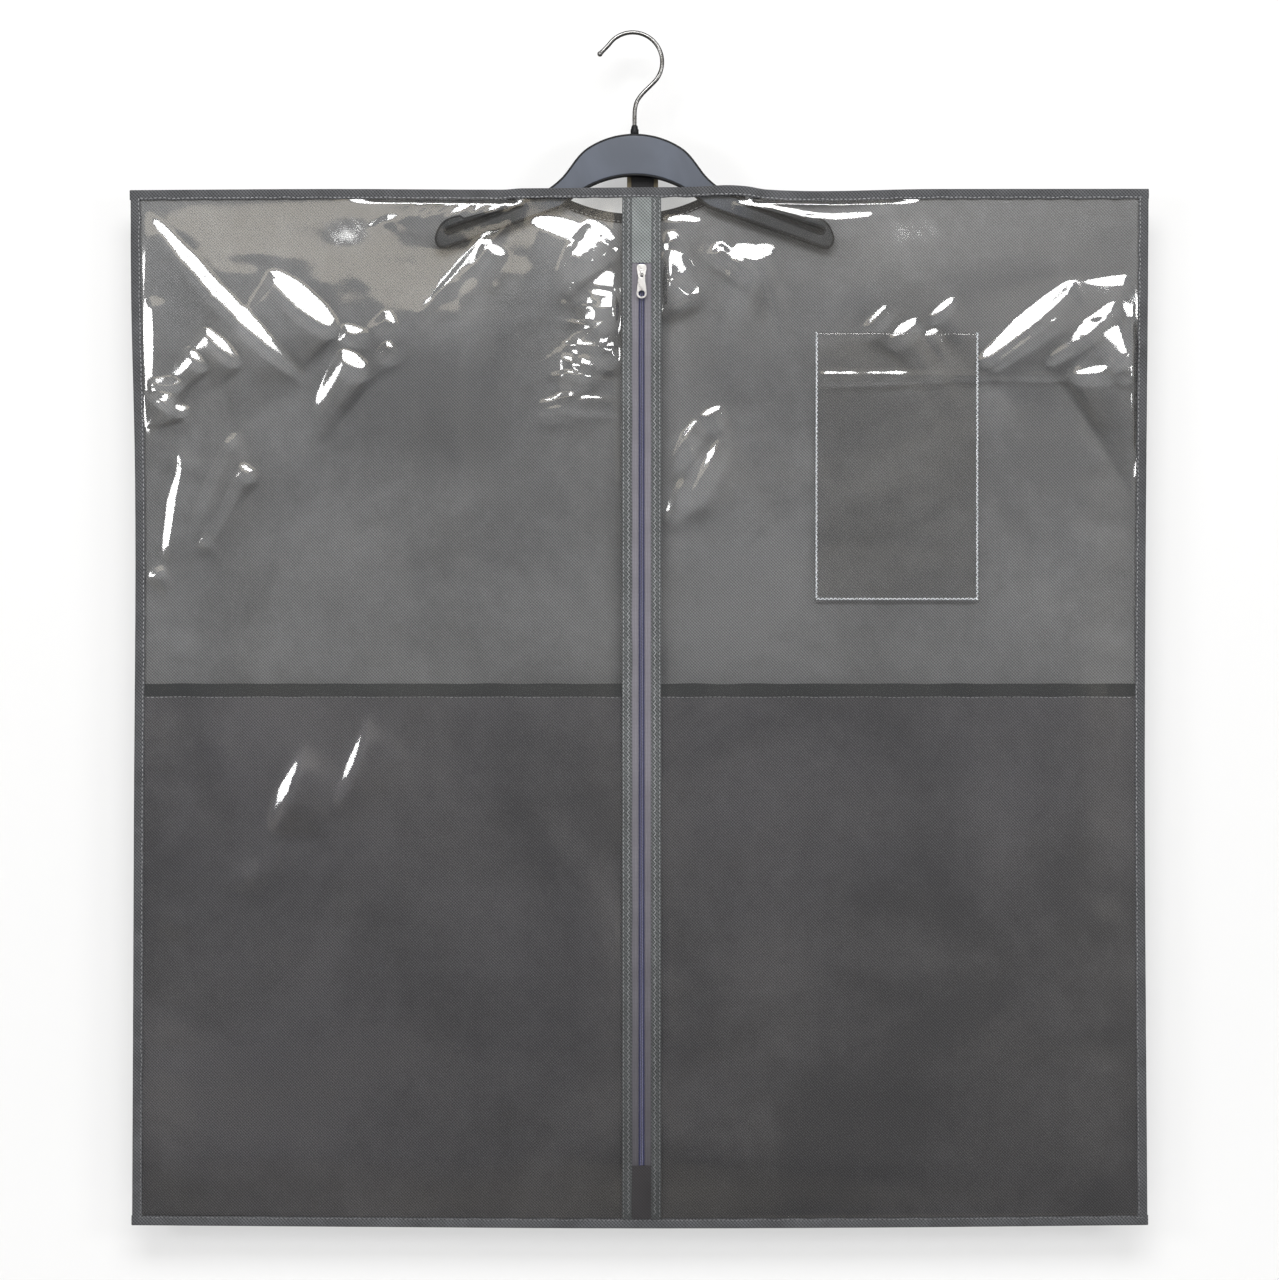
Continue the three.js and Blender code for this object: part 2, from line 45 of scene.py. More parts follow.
# ------------------------------------------------------------------ sizes, as in the CAD
BINDING = 10  # width of the bound edge
TUCK = 5  # how far a panel goes into its binding
FILM_THICK = 0.3
CLOTH_THICK = 0.6
DEPTH = 7  # how far the front stands out over the hanger and the zip
LOOSE_SHARE = 0.25  # share of that depth in the empty parts of the bag
EDGE_RAMP = 60  # width over which the panels come apart beside their bound edges
TOP_RAMP = 8
LOOSE_RAMP = 60  # the same where the hanger doesn't push the panels apart
FOOT_RAMP = 60
POCKET_TOP = -649
NECK_HALF = 112
NECK_CLOSE = 20
SCOOP_HALF = 84
NECK_DIP = 24
ZIP_X = 7
ZIP_TOP = -229.4
ZIP_BOTTOM = -1129.4
STRIP_WIDTH = 9.7
TAB_HALF = 9.7
PLACKET_TOP = -163.3
PLACKET_BOTTOM = -1183.7
TAPE_WIDTH = 13
SLIDER_TOP = -231
BAIL_MIDDLE = -239.5
ID_LEFT, ID_RIGHT, ID_TOP, ID_BOTTOM = 180.4, 343.4, -298.4, -565.4

# ------------------------------------------------------------------ camera and lights
CAMERA = np.array([0.0049, -3.022, -0.6054])
LENS = 85
SENSOR = 36
# Softboxes, and the lights below: name, place, width, height, power in watts
SOFTBOXES = (
    ("light_top", (0.0, -2.4, 1.28), 2.4, 1.0, 84),
    ("light_left", (-2.05, -2.2, -0.2), 0.8, 0.62, 20),
    ("light_right", (2.05, -2.2, -0.2), 0.8, 0.62, 20),
)
# A dim warm board below the top softbox, which only the waves of the film show
WARM_BOARD = ("light_board", (-0.8, -2.6, 0.5), 1.7, 0.42, 2.6)
WARM = (1.0, 0.9, 0.72)
BACK_LIGHT = ("light_back", (0.9, 2.6, 0.9), 1.6, 1.6, 22)
AIM = np.array([0.0, 0.0, -0.6])


def smooth_line(*knots):
    """A smooth curve through (place, value) pairs, as a function that takes arrays."""
    at, value = np.array(sorted(knots), float).T
    slope = np.gradient(value, at)

    def line(t):
        t = np.clip(t, at[0], at[-1])
        i = np.clip(np.searchsorted(at, t) - 1, 0, len(at) - 2)
        width = at[i + 1] - at[i]
        s = (t - at[i]) / width
        start = (1 + 2 * s) * (1 - s) ** 2 * value[i] + s * (1 - s) ** 2 * width * slope[i]
        end = s * s * (3 - 2 * s) * value[i + 1] + s * s * (s - 1) * width * slope[i + 1]
        return start + end

    return line


left_edge = smooth_line((-1194, -502.5), (-800, -500.8), (-425, -499.8), (-250, -503.6), (-153, -504))
right_edge = smooth_line((-1194, 512.8), (-715, 510.2), (-425, 511.8), (-250, 513.4), (-153, 514))
top_edge = smooth_line(
    (-504, -155.5), (-300, -154.4), (-120, -155), (0, -154), (60, -153.4), (96, -151.8), (131, -154.8),
    (300, -154.4), (514, -154.2),
)
bottom_edge = smooth_line((-504, -1190.6), (-250, -1192.4), (5, -1193.8), (260, -1192.8), (514, -1190.4))


def step(t):
    """0 to 1, gentle at both ends."""
    t = np.clip(t, 0, 1)
    return t * t * (3 - 2 * t)


def rounded(t):
    """0 to 1, most of the way in the first third."""
    t = np.clip(t, 0, 1)
    return 1 - (1 - t) ** 5


def wobble(t, length, seed):
    """Smooth noise of about -1 to 1 along a line, the same each run."""
    draw = np.random.RandomState(seed)
    total = 0
    for _ in range(5):
        total = total + np.sin(2 * math.pi * (t / (length * draw.uniform(0.6, 1.7)) + draw.uniform()))
    return total / 3


def waves(x, z, length, seed, count=9):
    """Smooth noise of about 0 to 1 over a panel."""
    draw = np.random.RandomState(seed)
    total = 0
    for _ in range(count):
        turn = draw.uniform(0, math.pi)
        pitch = length * draw.uniform(0.6, 1.8)
        along = x * math.cos(turn) + z * math.sin(turn)
        total = total + np.sin(2 * math.pi * (along / pitch + draw.uniform()))
    return 0.5 + total / (2.4 * math.sqrt(count))


def open_neck(x):
    """1 where the front and back edges stand apart, 0 where they are bound together."""
    return step((NECK_HALF + NECK_CLOSE - np.abs(x)) / NECK_CLOSE)


def swell(x, z):
    """How deep the bag is away from its edges: 1 over the hanger and the zip, less where it is empty."""
    hanger = step((345 - np.abs(x)) / 135) * step((z + 440) / 150)
    placket = step((190 - np.abs(x - ZIP_X)) / 160)
    return LOOSE_SHARE + (1 - LOOSE_SHARE) * (1 - (1 - hanger) * (1 - placket))


def spread(x, z):
    """How far the panels have come apart, from 0 at the bound edges to 1 over the hanger."""
    side = np.minimum(x - left_edge(z), right_edge(z) - x) - BINDING
    low = z - bottom_edge(x) - BINDING
    head = top_edge(x) - BINDING - z
    loose = step((np.abs(x) - 215) / 90)
    top = (1 - loose) * rounded(head / TOP_RAMP) + loose * step(head / LOOSE_RAMP)
    wide = EDGE_RAMP * (1 + 0.25 * wobble(z, 55, 77))
    return swell(x, z) * step(side / wide) * step(low / FOOT_RAMP) * np.maximum(top, open_neck(x))


def film_level(x, z):
    """Front face of the clear film before its creases."""
    return -1 - DEPTH * spread(x, z)


def lining_level(x, z):
    return -0.6 - (DEPTH - 0.4) * spread(x, z)


def back_level(x, z):
    return 0.3 + (DEPTH + 0.2) * spread(x, z)


# ------------------------------------------------------------------ creases in the film
# Each crease has one flank turned to a softbox: its line, and the flank's width.
LEFT_CREASES = (
    (((-482, -182), (-416, -256), (-330, -340)), 12),
    (((-427, -295), (-395, -324)), 10),
    (((-446, -315), (-428, -330)), 7),
    (((-362, -238), (-330, -264), (-296, -294)), 19),
    (((-290, -292), (-272, -300), (-276, -314)), 8),
    (((-292, -318), (-266, -334)), 13),
    (((-486, -268), (-486, -354)), 9),
    (((-484, -346), (-452, -347)), 9),
    (((-491, -359), (-460, -360)), 9),
    (((-479, -361), (-447, -376), (-445, -386), (-455, -402)), 8),
    (((-456, -411), (-455, -434), (-463, -465), (-468, -502), (-471, -530)), 8),
    (((-471, -531), (-486, -541)), 5),
    (((-394, -394), (-411, -410), (-424, -437), (-438, -470), (-450, -502)), 6),
    (((-392, -430), (-377, -441)), 6),
    (((-401, -449), (-415, -476), (-428, -500), (-440, -511)), 6),
    (((-150, -209), (-138, -216), (-128, -222)), 9),
    (((-104, -186), (-76, -192), (-51, -201), (-41, -213), (-21, -224)), 17),
    (((-66, -214), (-52, -221), (-38, -228)), 11),
    (((-47, -187), (-31, -200), (-17, -215)), 12),
    (((-64, -246), (-36, -242), (-10, -250)), 17),
    (((-46, -262), (-28, -264), (-10, -272)), 12),
    (((-64, -306), (-36, -303), (-18, -312), (-13, -330)), 17),
    (((-75, -322), (-50, -322), (-34, -332)), 12),
    (((-99, -369), (-72, -362), (-43, -350)), 4),
    (((-97, -376), (-70, -371), (-45, -362)), 3.5),
    (((-86, -341), (-66, -337), (-44, -343)), 4),
    (((-246, -279), (-237, -294)), 5),
    (((-246, -308), (-237, -319)), 5),
    (((-366, -791), (-350, -752), (-333, -716)), 12),
    (((-304, -772), (-290, -742), (-269, -690)), 9),
    (((-403, -843), (-380, -833), (-357, -815)), 4),
)
RIGHT_CREASES = (
    (((99, -168), (140, -172), (184, -184)), 6),
    (((131, -170), (192, -168), (258, -173)), 8),
    (((165, -180), (200, -183), (240, -180)), 6),
    (((30, -186), (48, -184), (68, -187)), 6),
    (((26, -208), (40, -199)), 8),
    (((33, -218), (48, -238), (62, -264)), 23),
    (((77, -222), (85, -210)), 7),
    (((100, -213), (120, -219), (139, -213)), 14),
    (((228, -294), (249, -272)), 6),
    (((253, -304), (280, -285)), 9),
    (((294, -282), (317, -264)), 7),
    (((290, -301), (303, -294)), 6),
    (((342, -327), (388, -288), (436, -248)), 14),
    (((352, -334), (390, -306), (424, -282)), 4),
    (((409, -325), (444, -299), (478, -269)), 11),
    (((430, -338), (468, -318), (505, -288)), 30),
    (((497, -242), (497, -285), (497, -330)), 20),
    (((66, -382), (84, -372)), 6),
    (((30, -482), (44, -448), (58, -410)), 9),
    (((52, -470), (66, -438), (84, -404)), 6),
    (((34, -430), (48, -402), (62, -384)), 5),
)
LEE = 4.5  # the far side of a crease falls away over this many flank widths
CREASE_END = 0.14  # share of a crease's length over which it rises
WIDER = 1.15  # a flank is this much wider than the light it shows
OVERRUN = 0.12  # and its ends run on by this share of their last stretch
STEEPEST = 0.46
FLATTEST = 0.12
FOLD_LINE = -341.5  # an old fold across the right panel
FOLD_FROM = 182
FOLD_CRISP = 290  # it is sharper up to here
FOLD_HALF = 3
FOLD_HIGH = 1.7
SLACK_HIGH = 3.5  # how far the film bellies out below the left arm


def unit(v):
    return v / np.linalg.norm(v)


def tilt_to(light, x, z):
    """The slope (to the right, up) that makes the film at this place show the light to the camera."""
    place = np.array([x, -8, z]) * MM
    half = unit(unit(np.array(light) - place) + unit(CAMERA - place))
    return np.array([half[0], half[2]]) / -half[1]


def flank(x, z, along):
    """The slope across a crease that runs along this direction, and which way it faces."""
    gap = 0.5
    here = np.array([
        film_level(x + gap, z) - film_level(x - gap, z),
        film_level(x, z + gap) - film_level(x, z - gap),
    ]) / (2 * gap)
    across = np.array([-along[1], along[0]])
    best = None
    for _, light, width, height, _ in SOFTBOXES:
        light = np.array(light)
        centre = tilt_to(light, x, z)
        reach = np.array([
            tilt_to(light + (width / 2, 0, 0), x, z)[0] - centre[0],
            0.7 * (tilt_to(light + (0, 0, height / 2), x, z)[1] - centre[1]),
        ])
        for faces in (across, -across):
            for steep in np.linspace(FLATTEST, STEEPEST, 18):
                off = (here + steep * faces - centre) / reach
                miss = np.hypot(*off) + 0.8 * steep
                if best is None or miss < best[0]:
                    best = (miss, steep, faces)
    return best[1], best[2]


def crease(x, z, line, width):
    """Height of one crease over the points x, z."""
    line = np.array(line, float)
    line[0] += OVERRUN * (line[0] - line[1])
    line[-1] += OVERRUN * (line[-1] - line[-2])
    parts = np.diff(line, axis=0)
    lengths = np.hypot(*parts.T)
    whole = lengths.sum()
    nearest = np.full(x.shape, 1e9)
    signed = np.zeros(x.shape)
    place = np.zeros(x.shape)
    slope = np.zeros(x.shape)
    gone = 0
    middle = line[len(line) // 2] if len(line) > 2 else line.mean(0)
    _, faces = flank(*middle, unit(line[-1] - line[0]))
    for start, part, length in zip(line, parts, lengths):
        along = part / length
        steep, across = flank(*(start + part / 2), along)
        if across @ faces < 0:
            across = -across
        raw = ((x - start[0]) * along[0] + (z - start[1]) * along[1]) / length
        t = np.clip(raw, 0, 1)
        away = np.hypot(x - start[0] - part[0] * t, z - start[1] - part[1] * t)
        side = (x - start[0]) * across[0] + (z - start[1]) * across[1]
        closer = away < nearest
        nearest = np.where(closer, away, nearest)
        signed = np.where(closer, side, signed)
        place = np.where(closer, (gone + raw * length) / whole, place)
        slope = np.where(closer, steep, slope)
        gone += length
    ends = step(place / CREASE_END) * step((1 - place) / CREASE_END)
    wide = WIDER * width * (0.15 + 0.85 * np.sin(math.pi * np.clip(place, 0.01, 0.99)) ** 0.75)
    t = 0.5 - signed / wide
    rise = np.clip(t, 0, 1)
    rise = 0.75 * rise + 0.25 * rise ** 2  # steepest at the crest
    beyond = np.maximum(t - 1, 0) / LEE
    return slope * wide * rise * np.exp(-1.6 * beyond ** 1.4) * ends


def fine_creases():
    """Seeded families of small creases where the film is pulled tight."""
    draw = np.random.RandomState(11)
    found = []
    for i in range(12):  # over the left arm
        x = -262 + 12 * i + draw.uniform(-3, 3)
        z = -190 + 1.2 * i + draw.uniform(-3, 3)
        run = draw.uniform(16, 30)
        found.append((((x, z), (x + run * 0.83, z + run * 0.56)), draw.uniform(1.8, 3)))
    for i in range(6):  # hanging from the middle of the arm
        off = 5.2 * i + draw.uniform(-0.8, 0.8)
        start = (-128 - off * 0.8, -190 - off * 0.3)
        run = draw.uniform(0.65, 1)
        found.append(((start, (start[0] - 68 * run, start[1] - 82 * run)), draw.uniform(1.5, 2.2)))
    for i in range(7):  # beside the zip, on its left
        z = -262 - 17 * i + draw.uniform(-5, 5)
        found.append((((-62 + draw.uniform(-20, 8), z + 6), (-20, z)), draw.uniform(3, 4.5)))
    return found


ALL_CREASES = LEFT_CREASES + RIGHT_CREASES + tuple(fine_creases())


def slack(x, z):
    """0 to 1 where the film hangs full below the left arm, so that it faces up a little above there."""
    across = step((x + 365) / 80) * step((-130 - x) / 50)
    lean = z + 0.18 * (x + 265)
    return across * step((-192 - lean) / 104) * (1 - step((-290 - lean) / 190))


def wrinkle(x, z):
    """How far the film stands out in front of its level, never less than nothing."""
    x, z = np.broadcast_arrays(np.asarray(x, float), np.asarray(z, float))
    side = np.minimum(x - left_edge(z), right_edge(z) - x) - BINDING
    low = z - bottom_edge(x) - BINDING
    head = top_edge(x) - BINDING - z
    height = 0.7 * waves(x, z, 150, 3) + 0.22 * waves(x, z, 46, 4, 12) * step((z + 640) / 120)
    height = height + 1.6 * waves(x, z, 115, 6, 8) * step((z + 430) / 190)
    height = height + 0.28 * waves(x * 0.35, z, 30, 9, 6) * step((z + 340) / 90) * step((-x - 40) / 60)
    height = height + SLACK_HIGH * slack(x, z)
    tension = 0.35 * np.clip(waves(x, z * 0.35, 60, 5, 8), 0, 2) * step((z + 600) / 260)
    height = np.maximum(height + tension, 0) * step(side / 110) * step(head / 90)
    flat_x, flat_z, total = x.ravel(), z.ravel(), height.ravel().copy()
    for line, width in ALL_CREASES:
        least, most = np.min(line, 0), np.max(line, 0)
        pad = width * (LEE * 2 + 1)
        near = (
            (flat_x > least[0] - pad) & (flat_x < most[0] + pad)
            & (flat_z > least[1] - pad) & (flat_z < most[1] + pad)
        )
        if near.any():
            total[near] += crease(flat_x[near], flat_z[near], line, width)
    fold = np.exp(-(((flat_z - FOLD_LINE) / FOLD_HALF) ** 2)) * step((flat_x - FOLD_FROM) / 6)
    crisp = 0.45 + 0.55 * step((FOLD_CRISP - flat_x) / 20)
    total += FOLD_HIGH * fold * crisp * (0.75 + 0.25 * np.sin(flat_x / 5) * np.sin(flat_x / 13))
    height = total.reshape(x.shape)
    zip_side = np.abs(x - ZIP_X) - TAB_HALF - STRIP_WIDTH
    return height * step(side / 5) * step(low / 30) * step(head / 5) * step((zip_side - 0.5) / 8)


def film_front(x, z):
    return film_level(x, z) - wrinkle(x, z)


# ------------------------------------------------------------------ meshes
def add_mesh(name, points, faces, material, body, nodes=(), slot=None, sharp=None, weld=None):
    """A piece from points in millimetres, facing outwards, riding on a body."""
    mesh = bpy.data.meshes.new(name)
    mesh.from_pydata((np.asarray(points, float) * MM).tolist(), [], [list(map(int, f)) for f in faces])
    work = bmesh.new()
    work.from_mesh(mesh)
    if weld:
        bmesh.ops.remove_doubles(work, verts=work.verts, dist=weld * MM)
    bmesh.ops.recalc_face_normals(work, faces=work.faces)
    work.to_mesh(mesh)
    work.free()
    mesh.polygons.foreach_set("use_smooth", [True] * len(mesh.polygons))
    if sharp:
        mesh.set_sharp_from_angle(angle=math.radians(sharp))
    mesh.materials.append(material)
    mesh.update()
    made = bpy.data.objects.new(name, mesh)
    bpy.context.scene.collection.objects.link(made)
    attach(made, body)
    if nodes:
        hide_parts(*nodes)
    return made


def two_layers(front, back):
    """A closed sheet from two equal grids of points."""
    rows, columns = front.shape[:2]
    count = rows * columns
    index = np.arange(count).reshape(rows, columns)
    quads = np.stack(
        [index[:-1, :-1], index[:-1, 1:], index[1:, 1:], index[1:, :-1]], -1
    ).reshape(-1, 4)
    rim = np.concatenate(
        [index[0], index[1:, -1], index[-1, -2::-1], index[-2:0:-1, 0]]
    )
    after = np.roll(rim, -1)
    sides = np.stack([after, rim, rim + count, after + count], -1)
    faces = np.concatenate([quads, quads[:, ::-1] + count, sides])
    points = np.concatenate([front.reshape(-1, 3), back.reshape(-1, 3)])
    return points, faces


def panel(x, z, front, thick):
    """A closed sheet whose front face is at y = front(x, z)."""
    y = front(x, z)
    return two_layers(np.stack([x, y, z], -1), np.stack([x, y + thick, z], -1))


def grid(left, right, bottom, top, columns, rows):
    """Points between four edges; left and right are functions of z, bottom and top of x."""
    u, v = np.meshgrid(np.asarray(columns, float), np.asarray(rows, float))
    x = left(0 * v - 600) * (1 - u) + right(0 * v - 600) * u
    for _ in range(3):
        z = bottom(x) * (1 - v) + top(x) * v
        x = left(z) * (1 - u) + right(z) * u
    return x, z


def constant(value):
    return lambda t: 0 * t + value


def ring_faces(rings, sides):
    """Faces between rings of points that follow one another, with both ends closed."""
    faces = []
    for i in range(rings - 1):
        for j in range(sides):
            k = (j + 1) % sides
            faces.append((i * sides + j, i * sides + k, (i + 1) * sides + k, (i + 1) * sides + j))
    faces.append(tuple(range(sides))[::-1])
    faces.append(tuple(range((rings - 1) * sides, rings * sides)))
    return faces


def tube(points, radius, sides=12):
    """A round bar along points; radius is a number or one for each point."""
    points = np.array(points, float)
    radius = np.broadcast_to(np.asarray(radius, float), (len(points),))
    along = np.gradient(points, axis=0)
    along /= np.linalg.norm(along, axis=1)[:, None]
    side = np.empty_like(points)
    last = np.array([0.0, 1.0, 0.0]) if abs(along[0][1]) < 0.9 else np.array([1.0, 0.0, 0.0])
    for i, way in enumerate(along):
        last = unit(last - way * (last @ way))
        side[i] = last
    up = np.cross(along, side)
    turn = np.linspace(0, 2 * math.pi, sides, endpoint=False)
    ring = side[:, None] * np.cos(turn)[:, None] + up[:, None] * np.sin(turn)[:, None]
    verts = (points[:, None] + ring * radius[:, None, None]).reshape(-1, 3)
    return verts, ring_faces(len(points), sides)


def together(*parts):
    """Several (points, faces) as one."""
    points, faces, count = [], [], 0
    for verts, quads in parts:
        points.append(np.asarray(verts, float))
        faces.extend(tuple(int(i) + count for i in f) for f in quads)
        count += len(verts)
    return np.concatenate(points), faces


def lathe(profile, sides=32):
    """A part turned about the hook's stem from (radius, z) pairs, low to high."""
    turn = np.linspace(0, 2 * math.pi, sides, endpoint=False)
    verts = [(r * math.cos(a), r * math.sin(a), z) for r, z in profile for a in turn]
    return verts, ring_faces(len(profile), sides)


def cut_plate(loops, front, back, bevel, steps=2, inset=0.0):
    """A flat plate seen from the front as loops of (x, z), the later ones holes, with rounded edges."""
    curve = bpy.data.curves.new("cut", "CURVE")
    curve.dimensions = "2D"
    curve.fill_mode = "BOTH"
    curve.extrude = (back - front) / 2 - bevel
    curve.bevel_depth = bevel
    curve.bevel_resolution = steps
    curve.offset = -bevel - inset
    for loop in loops:
        spline = curve.splines.new("POLY")
        spline.points.add(len(loop) - 1)
        for point, (x, z) in zip(spline.points, loop):
            point.co = (x, z, 0, 1)
        spline.use_cyclic_u = True
    holder = bpy.data.objects.new("cut", curve)
    bpy.context.scene.collection.objects.link(holder)
    bpy.context.view_layer.update()
    mesh = bpy.data.meshes.new_from_object(holder.evaluated_get(bpy.context.evaluated_depsgraph_get()))
    verts = [(v.co.x, (front + back) / 2 - v.co.z, v.co.y) for v in mesh.vertices]
    faces = [tuple(p.vertices) for p in mesh.polygons]
    bpy.data.objects.remove(holder)
    bpy.data.curves.remove(curve)
    bpy.data.meshes.remove(mesh)
    return verts, faces


def arc(x, z, radius, start, end, count):
    """Points on an arc, angles in degrees from +X."""
    return [
        (x + radius * math.cos(a), z + radius * math.sin(a))
        for a in np.radians(np.linspace(start, end, count))
    ]


def bent(start, pull, end, count=6):
    """Points on a quadratic curve, without its first."""
    t = np.linspace(0, 1, count + 1)[1:, None]
    start, pull, end = map(np.array, (start, pull, end))
    return [tuple(p) for p in (1 - t) ** 2 * start + 2 * t * (1 - t) * pull + t * t * end]


def through(points, count=6):
    """A smooth curve through points, with count steps between each two."""
    points = np.array(points, float)
    padded = np.vstack([2 * points[0] - points[1], points, 2 * points[-1] - points[-2]])
    out = []
    for a, b, c, d in zip(padded, padded[1:], padded[2:], padded[3:]):
        for t in np.linspace(0, 1, count, endpoint=False):
            out.append(0.5 * (2 * b + (c - a) * t + (2 * a - 5 * b + 4 * c - d) * t * t
                              + (3 * b - a - 3 * c + d) * t ** 3))
    out.append(points[-1])
    return np.array(out)


# A stitch along its length: share of the way, and share of the thread's radius
THREAD_RINGS = ((0.0, 0.35), (0.12, 0.85), (0.5, 1.0), (0.88, 0.85), (1.0, 0.35))
THREAD_SIDES = 6


def threads(starts, ends, radius, rise=(0, -0.15, 0)):
    """Short stitches from each start to each end, bowed out in the middle."""
    starts, ends = np.asarray(starts, float), np.asarray(ends, float)
    way = ends - starts
    way /= np.linalg.norm(way, axis=1)[:, None]
    out = np.broadcast_to(unit(np.array(rise, float)), way.shape)
    side = np.cross(way, out)
    side /= np.linalg.norm(side, axis=1)[:, None]
    out = np.cross(side, way)
    turn = np.linspace(0, 2 * math.pi, THREAD_SIDES, endpoint=False)
    rings = []
    for t, r in THREAD_RINGS:
        middle = starts + (ends - starts) * t + np.array(rise) * 4 * t * (1 - t)
        ring = side[:, None] * np.cos(turn)[:, None] + out[:, None] * np.sin(turn)[:, None]
        rings.append(middle[:, None] + ring * radius * r)
    first = np.arange(len(starts))[:, None] * len(THREAD_RINGS) * THREAD_SIDES
    faces = []
    for face in ring_faces(len(THREAD_RINGS), THREAD_SIDES):
        faces += (first + np.array(face)).tolist()
    return np.stack(rings, 1).reshape(-1, 3), faces


# ------------------------------------------------------------------ materials
def shade(red, green, blue):
    """An sRGB colour of 0 to 255, as the linear colour a shader takes."""
    linear = [
        c / 12.92 if c <= 0.04045 else ((c + 0.055) / 1.055) ** 2.4
        for c in (red / 255, green / 255, blue / 255)
    ]
    return (*linear, 1)


def scaled(colour, times):
    return (*[min(1, c * times) for c in colour[:3]], 1)


LOW_SHADE_FROM, LOW_SHADE_TO = -0.7, -1.15  # heights between which the placket, the zip tape and the threads are painted darker, in metres: painted shade towards the bag's lower edge


class Shader:
    """The node tree of a material or the world, with short ways to add the nodes used here."""

    def __init__(self, name, world=False):
        self.made = bpy.data.worlds.new(name) if world else bpy.data.materials.new(name)
        self.made.use_nodes = True
        self.tree = self.made.node_tree
        self.tree.nodes.clear()
        self.out = self.add("ShaderNodeOutputWorld" if world else "ShaderNodeOutputMaterial")
        self.place = self.add("ShaderNodeTexCoord").outputs["Generated" if world else "Object"]

    def add(self, kind, values=(), **settings):
        node = self.tree.nodes.new(kind)
        for key, value in settings.items():
            setattr(node, key, value)
        for key, value in dict(values).items():
            self.put(node.inputs[key], value)
        return node

    def put(self, socket, value):
        if isinstance(value, bpy.types.NodeSocket):
            self.tree.links.new(value, socket)
        else:
            socket.default_value = value

    def turned(self, degrees, scale=(1, 1, 1)):
        """The piece's coordinates turned about Y, then scaled."""
        turn = self.add(
            "ShaderNodeMapping", {"Vector": self.place, "Rotation": (0, math.radians(degrees), 0)}
        )
        return self.add("ShaderNodeMapping", {"Vector": turn.outputs[0], "Scale": scale}).outputs[0]

    def noise(self, scale, detail=3, place=None, distortion=0, roughness=0.5):
        return self.add("ShaderNodeTexNoise", {
            "Vector": place or self.place, "Scale": scale, "Detail": detail,
            "Distortion": distortion, "Roughness": roughness,
        }).outputs[0]

    def bands(self, pitch, place=None, direction="X", distortion=0):
        """Waves this many metres apart."""
        return self.add("ShaderNodeTexWave", {
            "Vector": place or self.place, "Scale": math.pi / 10 / pitch, "Distortion": distortion,
            "Detail": 1,
        }, bands_direction=direction).outputs[1]

    def maths(self, operation, a, b=0.0):
        return self.add("ShaderNodeMath", {0: a, 1: b}, operation=operation).outputs[0]

    def fit(self, value, low, high, to_low=0.0, to_high=1.0):
        return self.add("ShaderNodeMapRange", {
            "Value": value, "From Min": low, "From Max": high, "To Min": to_low, "To Max": to_high,
        }).outputs[0]

    def fade(self, distance, radius, gain):
        """gain at no distance, easing to nothing at the radius."""
        return self.add("ShaderNodeMapRange", {
            "Value": distance, "From Max": radius, "To Min": gain, "To Max": 0.0,
        }, interpolation_type="SMOOTHSTEP").outputs[0]

    def mix(self, factor, a, b):
        return self.add("ShaderNodeMix", {0: factor, 6: a, 7: b}, data_type="RGBA").outputs[2]

    def low_shade(self, colour, foot):
        """Painted shade: the colour multiplied by foot towards the bag's lower edge."""
        height = self.add("ShaderNodeSeparateXYZ", {0: self.place}).outputs[2]
        return self.add("ShaderNodeMix", {
            0: self.fit(height, LOW_SHADE_FROM, LOW_SHADE_TO), 6: colour, 7: (foot, foot, foot, 1),
        }, data_type="RGBA", blend_type="MULTIPLY").outputs[2]

    def bump(self, height, distance, strength=1.0):
        return self.add("ShaderNodeBump", {
            "Height": height, "Distance": distance, "Strength": strength,
        }).outputs[0]

    def finished(self, node):
        self.put(self.out.inputs[0], node.outputs[0])
        return self.made

    def surface(self, **values):
        names = {key: key.replace("_", " ") for key in values}
        node = self.add("ShaderNodeBsdfPrincipled", {names[k]: v for k, v in values.items()})
        return self.finished(node)


